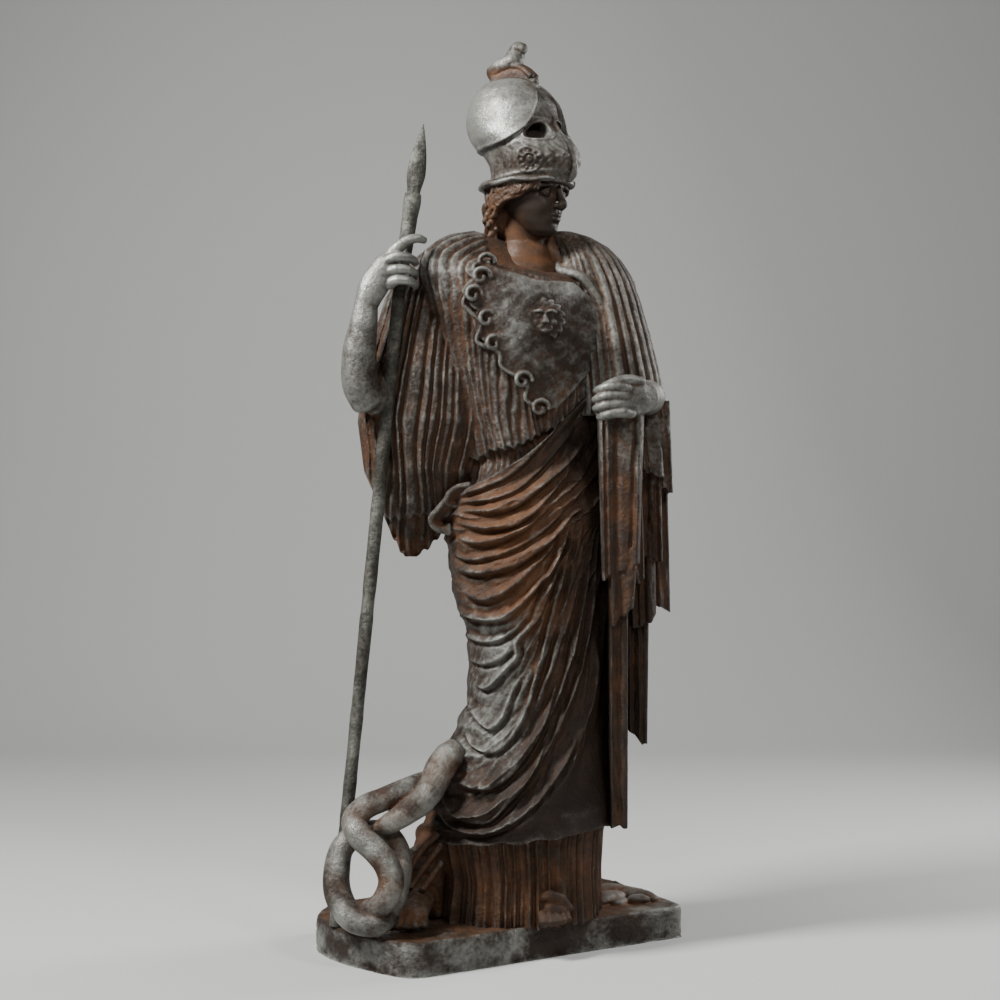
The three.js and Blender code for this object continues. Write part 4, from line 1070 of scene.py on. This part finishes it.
def averaged(values, a, b, times):
    """Values spread over the mesh's edges."""
    values = values.reshape(len(values), -1)
    n = len(values)
    count = np.bincount(a, minlength=n)[:, None]
    for _ in range(times):
        near = np.stack([np.bincount(a, values[b, k], n) for k in range(values.shape[1])], 1) / count
        values = 0.35 * values + 0.65 * near
    return values


SAMPLES = 14000  # points of each group that a vertex is compared with to find its group


def carve(name, parts, voxel, most):
    """One piece of stone from named groups of closed forms. Returns the object and a group number a vertex."""
    groups = list(parts.values())
    verts, tris = joined([f for g in groups for f in g])
    obj = bpy.data.objects.new(name, mesh_of(name, verts, tris))
    bpy.context.scene.collection.objects.link(obj)
    mod = obj.modifiers.new("skin", "REMESH")
    mod.mode = "VOXEL"
    mod.voxel_size = voxel * 1 / 1000
    applied(obj)
    m = obj.data
    p = coords(m)
    a, b = links(m)
    m.vertices.foreach_set("co", p.astype(np.float32).ravel())
    m.update()
    count = sum(len(f.vertices) - 2 for f in m.polygons)
    if count > most:
        mod = obj.modifiers.new("less", "DECIMATE")
        mod.ratio = most / count
        applied(obj)
    tree_points, tree_groups = [], []
    for k, g in enumerate(groups):
        v = np.concatenate([f[0] for f in g])
        pick = v[:: max(1, len(v) // SAMPLES)]
        tree_points.append(place(pick))
        tree_groups += [k] * len(pick)
    tree_points = np.concatenate(tree_points)
    if len(groups) > 1:
        tree = KDTree(len(tree_points))
        for i, q in enumerate(tree_points):
            tree.insert(q, i)
        tree.balance()
        p = coords(obj.data)
        near = np.array([tree.find(q)[1] for q in p])
        which = np.array(tree_groups)[near]
    else:
        which = np.zeros(len(obj.data.vertices), int)
    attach(obj, "root")
    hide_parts("statue")
    for f in obj.data.polygons:
        f.use_smooth = True
    return obj, which, list(parts)


def crests_for_wear_and_shade(obj):
    """How far each vertex stands out of the surface round it: crests above 0, hollows below. It drives the wear on
    crests and the painted shade in hollows.
    """
    m = obj.data
    p = coords(m)
    a, b = links(m)
    normal = np.empty(3 * len(p), np.float32)
    m.vertices.foreach_get("normal", normal)
    normal = normal.reshape(-1, 3)
    fine = averaged(p, a, b, 5)
    wide = averaged(fine, a, b, 30)
    d_fine = np.sum((p - fine) * normal, 1) * 1000
    d_wide = np.sum((p - wide) * normal, 1) * 1000
    value = np.tanh(0.5 * d_fine) + 0.6 * np.tanh(0.12 * d_wide)
    return averaged(value, a, b, 1)[:, 0]


def store(obj, name, values):
    layer = obj.data.attributes.new(name, "FLOAT", "POINT")
    layer.data.foreach_set("value", np.asarray(values, np.float32))


GRIT = {"helmet": 0.5, "crest": 0.5, "face": 0.12, "neck": 0.12, "hair": 0.4, "arm": 0.6, "hand": 0.5,
        "snake": 1.0, "plinth": 1.5}


def paint(obj, which, names, look):
    """look(name, p) gives silver, warm, dark shares for a group at places p in mm of the carving frame."""
    m = obj.data
    p = spun(coords(m) * 1000 - SHIFT, TURN)
    values = np.zeros((len(p), 3))
    for k, name in enumerate(names):
        mask = which == k
        if mask.any():
            values[mask] = np.stack(look(name, p[mask]), 1)
    a, b = links(m)
    values = averaged(values, a, b, 6)
    for k, name in enumerate(("silver", "warm", "dark")):
        store(obj, name, values[:, k])
    store(obj, "crest", crests_for_wear_and_shade(obj))
    grit = np.array([GRIT.get(n, 1.0) for n in names])[which]
    store(obj, "grit", averaged(grit.astype(float), a, b, 4)[:, 0])


# ---------------------------------------------------------------- the stone's looks

def region(name, p):
    """Silver, warm and dark shares of a carved form at places p in mm. The dark share sets how much painted shade
    darkens the form, most in its hollows.
    """
    x, y, z = p.T
    n1, n2 = cloud(p, 130, 21), cloud(p, 42, 22)
    middle = np.interp(z, [r[0] for r in BODY], [r[3] for r in BODY])
    axis = np.interp(z, [r[0] for r in BODY], [(r[1] + r[2]) / 2 for r in BODY])
    angle = np.degrees(np.arctan2(x - axis, -(y - middle)))
    angle = np.where(angle > 90, angle - 360, angle)
    one = np.ones(len(p))
    if name in ("helmet", "crest"):
        hx, hy, hz = spun(p - HEAD, -HEAD_TURN).T
        front, back, _ = soft_table(HELMET, hz)
        deg = np.degrees(np.arctan2(hx, (back - front) / 2 - hy))
        # Painted shade: the eye holes are painted dark, with no silver.
        hole = sum(smooth(1.0, 0.85, eye_hole(deg, hz, s)) for s in (-1, 1))
        silver = 0.62 + 0.34 * n1 + 0.16 * n2 - 0.85 * bump(z - 2084, 16) - 0.35 * smooth(1905, 1840, z)
        silver = silver - 0.13 * (name == "crest") - 2 * hole
        return silver, 0.45 * bump(z - 2084, 16) + 0.15 * smooth(1880, 1840, z), 0.1 + 1.3 * hole
    if name == "face":
        # Painted shade: the face under the helmet's rim is painted dark.
        return -0.12 + 0.1 * n2, 0.2 + 0.12 * n1, 0.75 * one
    if name == "neck":
        # Painted shade: the neck under the head is painted dark.
        return 0.02 + 0.08 * n2 - 0.6 * smooth(1690, 1640, z), 0.50 + 0.12 * n1, 0.55 * one
    if name == "hair":
        return 0.12 + 0.2 * smooth(1760, 1800, z) + 0.15 * n2, 0.36 + 0.2 * n1, 0.3 * one
    if name == "cloak_end":
        return 0.12 + 0.2 * n1, 0.35 * one, 0.15 * one
    if name == "snake":
        return 0.42 + 0.42 * n2 + 0.25 * n1, 0.34 + 0.4 * n1, 0.32 * one
    if name in ("arm", "hand"):
        # Painted shade: the raised arm is painted darker and less silver below its hand.
        silver = 0.26 + 0.35 * smooth(1380, 1500, z) * (x < 0) + 0.36 * (x > 0) + 0.25 * n1
        return silver, 0.08 * one, 0.2 - 0.1 * (x > 0) + 0.3 * smooth(1430, 1330, z) * (x < 0)
    if name == "roots":
        return 0.35 + 0.4 * n2, 0.5 * one, 0.1 * one
    if name == "foot":
        # Painted shade: the left foot under the cloth is painted dark. Painted light: the right foot is painted
        # lighter, with no dark share, against the snake's shadow over it.
        return 0.2 + 0.15 * n1 - 0.3 * (x > 0), 0.62 - 0.2 * (x > 0), 0.7 * (x > 0)
    if name == "aegis":
        silver = 0.27 + 0.22 * n1 + 0.12 * n2
        return silver, 0.15 + 0.5 * bump(angle - 30, 9) * smooth(1360, 1260, z), 0.25 * one
    if name == "sleeve":
        warm = 0.28 + 0.1 * n2 + 0.3 * smooth(960, 900, z) + 0.15 * smooth(-270, -320, x)
        return 0.1 + 0.2 * n1 + 0.15 * smooth(1300, 1500, z), warm, 0.3 * one
    if name == "tunic":
        chest = bare(p)
        silver = 0.22 + 0.25 * n1 + 0.12 * n2 - 0.5 * chest
        return silver, 0.25 + 0.06 * chest + 0.1 * n2, 0.15 + 0.1 * chest
    if name == "mantle":
        # Painted shade: the hanging cloth is painted darker and less silver below about 1200 mm.
        silver = 0.38 + 0.25 * n1 + 0.12 * n2 - 0.5 * smooth(1260, 900, z)
        return silver, 0.3 + 0.14 * n2, 0.08 + 0.3 * smooth(1200, 800, z)
    if name == "cloak":
        leg = bump(angle + 36, 30) * smooth(330, 470, z) * smooth(820, 700, z)
        rust = bump(angle + 10, 50) * (bump(z - 960, 130) + 0.7 * bump(z - 760, 60))
        rust = rust + 0.5 * bump(angle + 5, 14) * bump(z - 700, 180)
        # Painted shade: the cloak's right side is painted darker and less silver, and its part below about 420 mm
        # darker.
        silver = 0.12 + 0.42 * leg + 0.16 * n1 + 0.08 * n2 - 0.15 * smooth(10, 50, angle)
        dark = 0.3 - 0.25 * leg + 0.45 * smooth(5, 45, angle) + 0.6 * smooth(420, 280, z)
        return silver, 0.2 + 0.55 * rust - 0.2 * leg, dark
    if name == "lower":
        # Painted shade: the tunic below the cloak's hem and the cloth at the feet are painted darker.
        return 0.12 * n1, 0.5 + 0.2 * n2, 0.45 * one
    if name == "plinth":
        top = smooth(-10, -3, z)
        side = 0.34 + 0.4 * n1 + 0.4 * n2 + 0.3 * smooth(-100, -320, x)
        upper = 0.4 * n1 + 0.3 * n2 + 0.4 * smooth(230, 330, x)
        return mix(side, upper, top), mix(0.02, 0.4, top), mix(0.25, 0.1, top)
    raise KeyError(name)


def nodes_of(name):
    mat = bpy.data.materials.new(name)
    mat.use_nodes = True
    tree = mat.node_tree
    tree.nodes.clear()

    def node(kind, inputs=None, **fields):
        n = tree.nodes.new(kind)
        for k, v in fields.items():
            setattr(n, k, v)
        for k, v in (inputs or {}).items():
            socket = n.inputs[k]
            if isinstance(v, bpy.types.NodeSocket):
                tree.links.new(v, socket)
            else:
                socket.default_value = v
        return n
    return mat, node


def stone(name, base=(0.031, 0.021, 0.015), rust=(0.135, 0.056, 0.021), grey=(0.32, 0.325, 0.295)):
    """Dark brown patina worn to silvery grey on crests, rust in the recesses, and painted shade that darkens the
    hollows toward near black.
    """
    mat, node = nodes_of(name)
    at = lambda n: node("ShaderNodeAttribute", attribute_name=n).outputs["Fac"]
    place_ = node("ShaderNodeTexCoord").outputs["Object"]

    def noise(scale, detail=6.0, rough=0.6):
        inputs = {"Vector": place_, "Scale": scale, "Detail": detail, "Roughness": rough}
        return node("ShaderNodeTexNoise", inputs).outputs["Fac"]

    def calc(op, a, b=0.0, c=0.0):
        return node("ShaderNodeMath", {0: a, 1: b, 2: c}, operation=op).outputs[0]

    def blend(t, a, b):
        n = node("ShaderNodeMix", data_type="RGBA")
        n.inputs[0].default_value = 0
        for k, v in ((0, t), (6, a), (7, b)):
            if isinstance(v, bpy.types.NodeSocket):
                mat.node_tree.links.new(v, n.inputs[k])
            else:
                n.inputs[k].default_value = (*v, 1) if isinstance(v, tuple) else v
        return n.outputs[2]

    def step_(x, lo, hi):
        n = node("ShaderNodeMapRange", {0: x, 1: lo, 2: hi, 3: 0.0, 4: 1.0})
        n.interpolation_type = "SMOOTHSTEP"
        return n.outputs[0]
    crest_, silver, warm, dark = at("crest"), at("silver"), at("warm"), at("dark")
    big, mid, fine, grain = noise(5.0, 4.0), noise(28.0), noise(110.0), noise(420.0, 3.0)
    # Grey shows on crests and where the silver share is high; some silver terms in region() are painted shade and
    # painted light.
    wear_and_painted_light = calc("MULTIPLY_ADD", crest_, 0.32, silver)
    wear_and_painted_light = calc("MULTIPLY_ADD", calc("SUBTRACT", mid, 0.5), 1.0, wear_and_painted_light)
    wear_and_painted_light = calc("MULTIPLY_ADD", calc("SUBTRACT", fine, 0.5), 0.9, wear_and_painted_light)
    wear_and_painted_light = step_(wear_and_painted_light, 0.15, 1.25)
    red = calc("MULTIPLY_ADD", crest_, -0.35, warm)
    red = calc("MULTIPLY_ADD", calc("SUBTRACT", mid, 0.5), 0.9, red)
    red = step_(calc("MULTIPLY_ADD", calc("SUBTRACT", big, 0.5), 0.5, red), 0.05, 0.95)
    # Painted shade: the hollows, and forms with a high dark share, are darkened toward near black.
    low = calc("MULTIPLY_ADD", crest_, -0.8, dark)
    low = step_(low, 0.1, 1.3)
    colour = blend(red, base, rust)
    colour = blend(calc("MULTIPLY", step_(fine, 0.45, 0.75), 0.35), colour, tuple(0.55 * c for c in base))
    patch = calc("MULTIPLY", step_(noise(16.0, 5.0, 0.65), 0.48, 0.62), step_(mid, 0.36, 0.58))
    silver_ = blend(calc("MULTIPLY", patch, 0.62), grey, tuple(0.28 * c for c in grey))
    silver_ = blend(calc("MULTIPLY", step_(fine, 0.5, 0.68), 0.35), silver_, tuple(0.5 * c for c in grey))
    colour = blend(wear_and_painted_light, colour, silver_)
    pits = step_(calc("ADD", calc("MULTIPLY", grain, 0.5), calc("MULTIPLY", fine, 0.5)), 0.60, 0.70)
    colour = blend(calc("MULTIPLY", pits, 0.5), colour, tuple(0.6 * c for c in base))
    colour = blend(calc("MULTIPLY", low, 0.72), colour, (0.016, 0.010, 0.007))
    rough = calc("MULTIPLY_ADD", wear_and_painted_light, -0.22, 0.54)
    rough = calc("MULTIPLY_ADD", calc("SUBTRACT", fine, 0.5), 0.55, rough)
    height = calc("ADD", calc("MULTIPLY", fine, 0.9), calc("MULTIPLY", grain, 0.3))
    height = calc("ADD", calc("MULTIPLY", mid, 1.3), height)
    strength = calc("MULTIPLY", at("grit"), 0.9)
    bump_ = node("ShaderNodeBump", {"Strength": strength, "Distance": 0.0045, "Height": height}).outputs[0]
    shader = node("ShaderNodeBsdfPrincipled", {
        "Base Color": colour, "Roughness": rough, "Normal": bump_,
        "Specular IOR Level": calc("MULTIPLY_ADD", wear_and_painted_light, 0.35, 0.22), "Metallic": calc("MULTIPLY", wear_and_painted_light, 0.68),
    })
    node("ShaderNodeOutputMaterial", {"Surface": shader.outputs[0]})
    return mat


def plain(name, colour, rough):
    mat, node = nodes_of(name)
    shader = node("ShaderNodeBsdfPrincipled",
                  {"Base Color": (*colour, 1), "Roughness": rough, "Specular IOR Level": 0.2})
    node("ShaderNodeOutputMaterial", {"Surface": shader.outputs[0]})
    return mat


# ---------------------------------------------------------------- build

# Each row: top and low end, folds, their depth, the cloth's thickness, slant of the hem, seed.
PANELS = [
    ([1262, 236, 345, -118], [850, 246, 336, -98], 4, 9, 190, 46, 1),
    ([880, 262, 310, -58], [226, 268, 311, -34], 1.6, 8, 110, 0, 2),
    ([930, 300, 372, 52], [432, 310, 366, 56], 2.0, 11, 70, -40, 3),
    ([1290, 330, 412, 60], [762, 352, 428, 94], 2.6, 10, 110, -34, 4),
    ([1240, 300, 376, 6], [716, 322, 388, 40], 3.2, 8, 90, 26, 14),
    ([1230, 330, 392, -18], [880, 342, 400, 6], 2.4, 8, 90, -30, 15),
    ([1240, 286, 340, -50], [812, 300, 352, -36], 2.2, 7, 90, 30, 16),
    ([905, 258, 330, -98], [738, 268, 322, -84], 2.2, 8, 150, 40, 8),
    ([1262, 372, 414, -30], [1050, 376, 424, -10], 2.5, 9, 100, -30, 9),
    ([1570, 236, 338, 90], [1170, 322, 422, 66], 3, 12, 130, -30, 5),
    ([1300, 290, 396, -20], [1090, 310, 400, -40], 3, 10, 130, -30, 6),
]
layers = body_layers()
snake = [limb([[*r[:3], r[3] * 1.09] for r in rows], sides=40, per=14)
         for rows in (SNAKE_LOOP, SNAKE_BODY, SNAKE_NECK)]
# Each piece: name, groups of forms, voxel size in mm, most triangles.
marks = [
    ("head", {"helmet": helmet(), "crest": crest(), "hair": hair(), "face": face(), "neck": neck()}, 1.6, 195000),
    ("tunic", {
        "tunic": [layers["tunic"]],
        "sleeve": [sleeve()] + upper_arm(),
        "aegis": [aegis()] + gorgon() + curls(),
        "arm": right_arm(),
        "cloak_end": cloak_end(),
    }, 2.4, 197000),
    ("mantle", {
        "mantle": shoulder_cloth() + [arm_cloth()] + [panel(*row) for row in PANELS],
        "hand": left_hand(),
    }, 2.4, 170000),
    ("cloak", {"cloak": [layers["cloak"]]}, 2.1, 198000),
    ("lower", {
        "lower": [layers["lower"]] + foot_cloth(),
        "foot": foot(-208, -60, math.radians(-8), 86, 1.12) + foot(108, -32, math.radians(20), 72, 1),
    }, 2.5, 110000),
    ("plinth", {"plinth": [plinth()], "roots": roots(), "snake": snake}, 2.8, 95000),
]
skin = stone("carved_stone")
for name, parts, voxel, most in marks:
    obj, which, names = carve(name, parts, voxel, most)
    paint(obj, which, names, region)
    obj.data.materials.clear()
    obj.data.materials.append(skin)
    print(name, sum(len(f.vertices) - 2 for f in obj.data.polygons), flush=True)


ROD_RADIUS, COLLAR_RADIUS = 16, 21
BLADE_LENGTH, BLADE_WIDE, BLADE_THICK = 175, 23, 9.5


def spear():
    """A worn rod from the plinth through the closed hand, with a flat leaf blade."""
    foot_, hand, top = np.array([-393, -92, 1.0]), np.array([-243, -40, 1540.0]), np.array([-186, -22, 1936.0])
    along = (top - hand) / np.linalg.norm(top - hand)
    rows = []
    for t in np.linspace(0, 1, 60):
        rows.append((mix(foot_, hand, t), ROD_RADIUS))
    base = top - along * BLADE_LENGTH
    for t in np.linspace(0.05, 1, 12):
        rows.append((mix(hand, base, t), mix(ROD_RADIUS, COLLAR_RADIUS, t)))
    mids = np.array([r[0] for r in rows])
    radii = np.array([r[1] for r in rows], float)
    radii = radii + 1.0 * wander(np.arange(len(radii)) * 0.9, 31)
    radii[-2:] = [22, 20]
    a = np.linspace(0, 2 * math.pi, 32, endpoint=False)
    side = np.cross(along, [0, 1, 0])
    side /= np.linalg.norm(side)
    other = np.cross(along, side)
    rings = [m + r * (np.cos(a)[:, None] * side + np.sin(a)[:, None] * other) for m, r in zip(mids, radii)]
    for t in np.linspace(0, 1, 26):
        wide = BLADE_WIDE * (0.7 + 0.3 * smooth(0, 0.3, t)) * max(0.05, 1 - max(0, (t - 0.25) / 0.75) ** 1.8)
        thick = BLADE_THICK * max(0.08, 1 - t ** 2)
        lens = np.sign(np.sin(a)) * np.abs(np.sin(a)) ** 1.3
        rings.append(base + along * BLADE_LENGTH * t + wide * np.cos(a)[:, None] * side
                     + thick * lens[:, None] * other)
    return grid(np.array(rings))


v, t = spear()
rod = bpy.data.objects.new("spear_rod", mesh_of("spear_rod", place(v), t))
bpy.context.scene.collection.objects.link(rod)
for f in rod.data.polygons:
    f.use_smooth = True
for key, value in (("silver", 0.4), ("warm", 0.1), ("dark", 0.0), ("crest", 0.0), ("grit", 1.0)):
    store(rod, key, np.full(len(rod.data.vertices), value) + (0.25 * cloud(v, 60, 3) if key == "silver" else 0))
rod.data.materials.append(stone("spear_stone", base=(0.030, 0.027, 0.020), rust=(0.12, 0.055, 0.02),
                                grey=(0.30, 0.31, 0.27)))
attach(rod, "root")
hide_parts("spear")

# ---------------------------------------------------------------- stage

# The floor rises behind the figure in a quarter circle to an upright wall.
pts, tris = [], []
WALL_AWAY, BEND = 4.8, 1.6
bend = [(WALL_AWAY - BEND + BEND * math.sin(t), BEND - BEND * math.cos(t)) for t in np.arange(1, 13) * math.pi / 24]
rise = [(-9, 0), (WALL_AWAY - BEND, 0)] + bend + [(WALL_AWAY, 9)]
for away, z in rise:
    for across in (-9, 9):
        pts.append(spun(np.array([across, away, z]), -TURN))
for s in range(len(rise) - 1):
    a = 2 * s
    tris += [(a, a + 1, a + 3), (a, a + 3, a + 2)]
floor = bpy.data.objects.new("floor", mesh_of("floor", np.array(pts, float), np.array(tris)))
for f in floor.data.polygons:
    f.use_smooth = True
floor.data.materials.append(plain("floor", (0.5, 0.5, 0.49), 0.85))
bpy.context.scene.collection.objects.link(floor)


def lamp(name, where, aim, size, power, colour=(1, 1, 1)):
    """An area light. where is (across, toward the viewer, up) from the figure's axis, in metres."""
    data = bpy.data.lights.new(name, "AREA")
    data.shape, data.size, data.size_y = "RECTANGLE", size[0], size[1]
    data.energy, data.color = power, colour
    obj = bpy.data.objects.new(name, data)
    across, toward, up = where
    at = Vector(spun(np.array([across, -toward, up]), -TURN))
    obj.location = at
    obj.rotation_euler = (Vector(aim) - at).to_track_quat("-Z", "Y").to_euler()
    bpy.context.scene.collection.objects.link(obj)


lamp("key", (-2.5, 1.3, 3.9), (0, 0, 1.5), (0.8, 1.1), 350)
lamp("side", (2.9, -1.2, 2.4), (0, 0, 1.2), (0.6, 1.8), 110)
lamp("front", (1.7, 2.6, 3.6), (0, 0, 1.5), (0.7, 0.7), 60)
lamp("fill", (-0.9, 4.4, 3.2), (0, 0, 1.3), (1.0, 1.0), 30)
world = bpy.data.worlds.new("studio")
world.use_nodes = True
world.node_tree.nodes["Background"].inputs[0].default_value = (1, 1, 1, 1)
world.node_tree.nodes["Background"].inputs[1].default_value = 0.04
bpy.context.scene.world = world

# The photograph's own view, CAMERA_AWAY in front of the carving.
cam_data = bpy.data.cameras.new("camera")
cam_data.lens, cam_data.sensor_width = 60.73, 36
cam_data.clip_start, cam_data.clip_end = 0.1, 100
cam = bpy.data.objects.new("camera", cam_data)
cam.location = (-2.0853, -3.6067, 1.10)
cam.rotation_euler = (math.pi / 2, 0, -TURN)
bpy.context.scene.collection.objects.link(cam)
bpy.context.scene.camera = cam
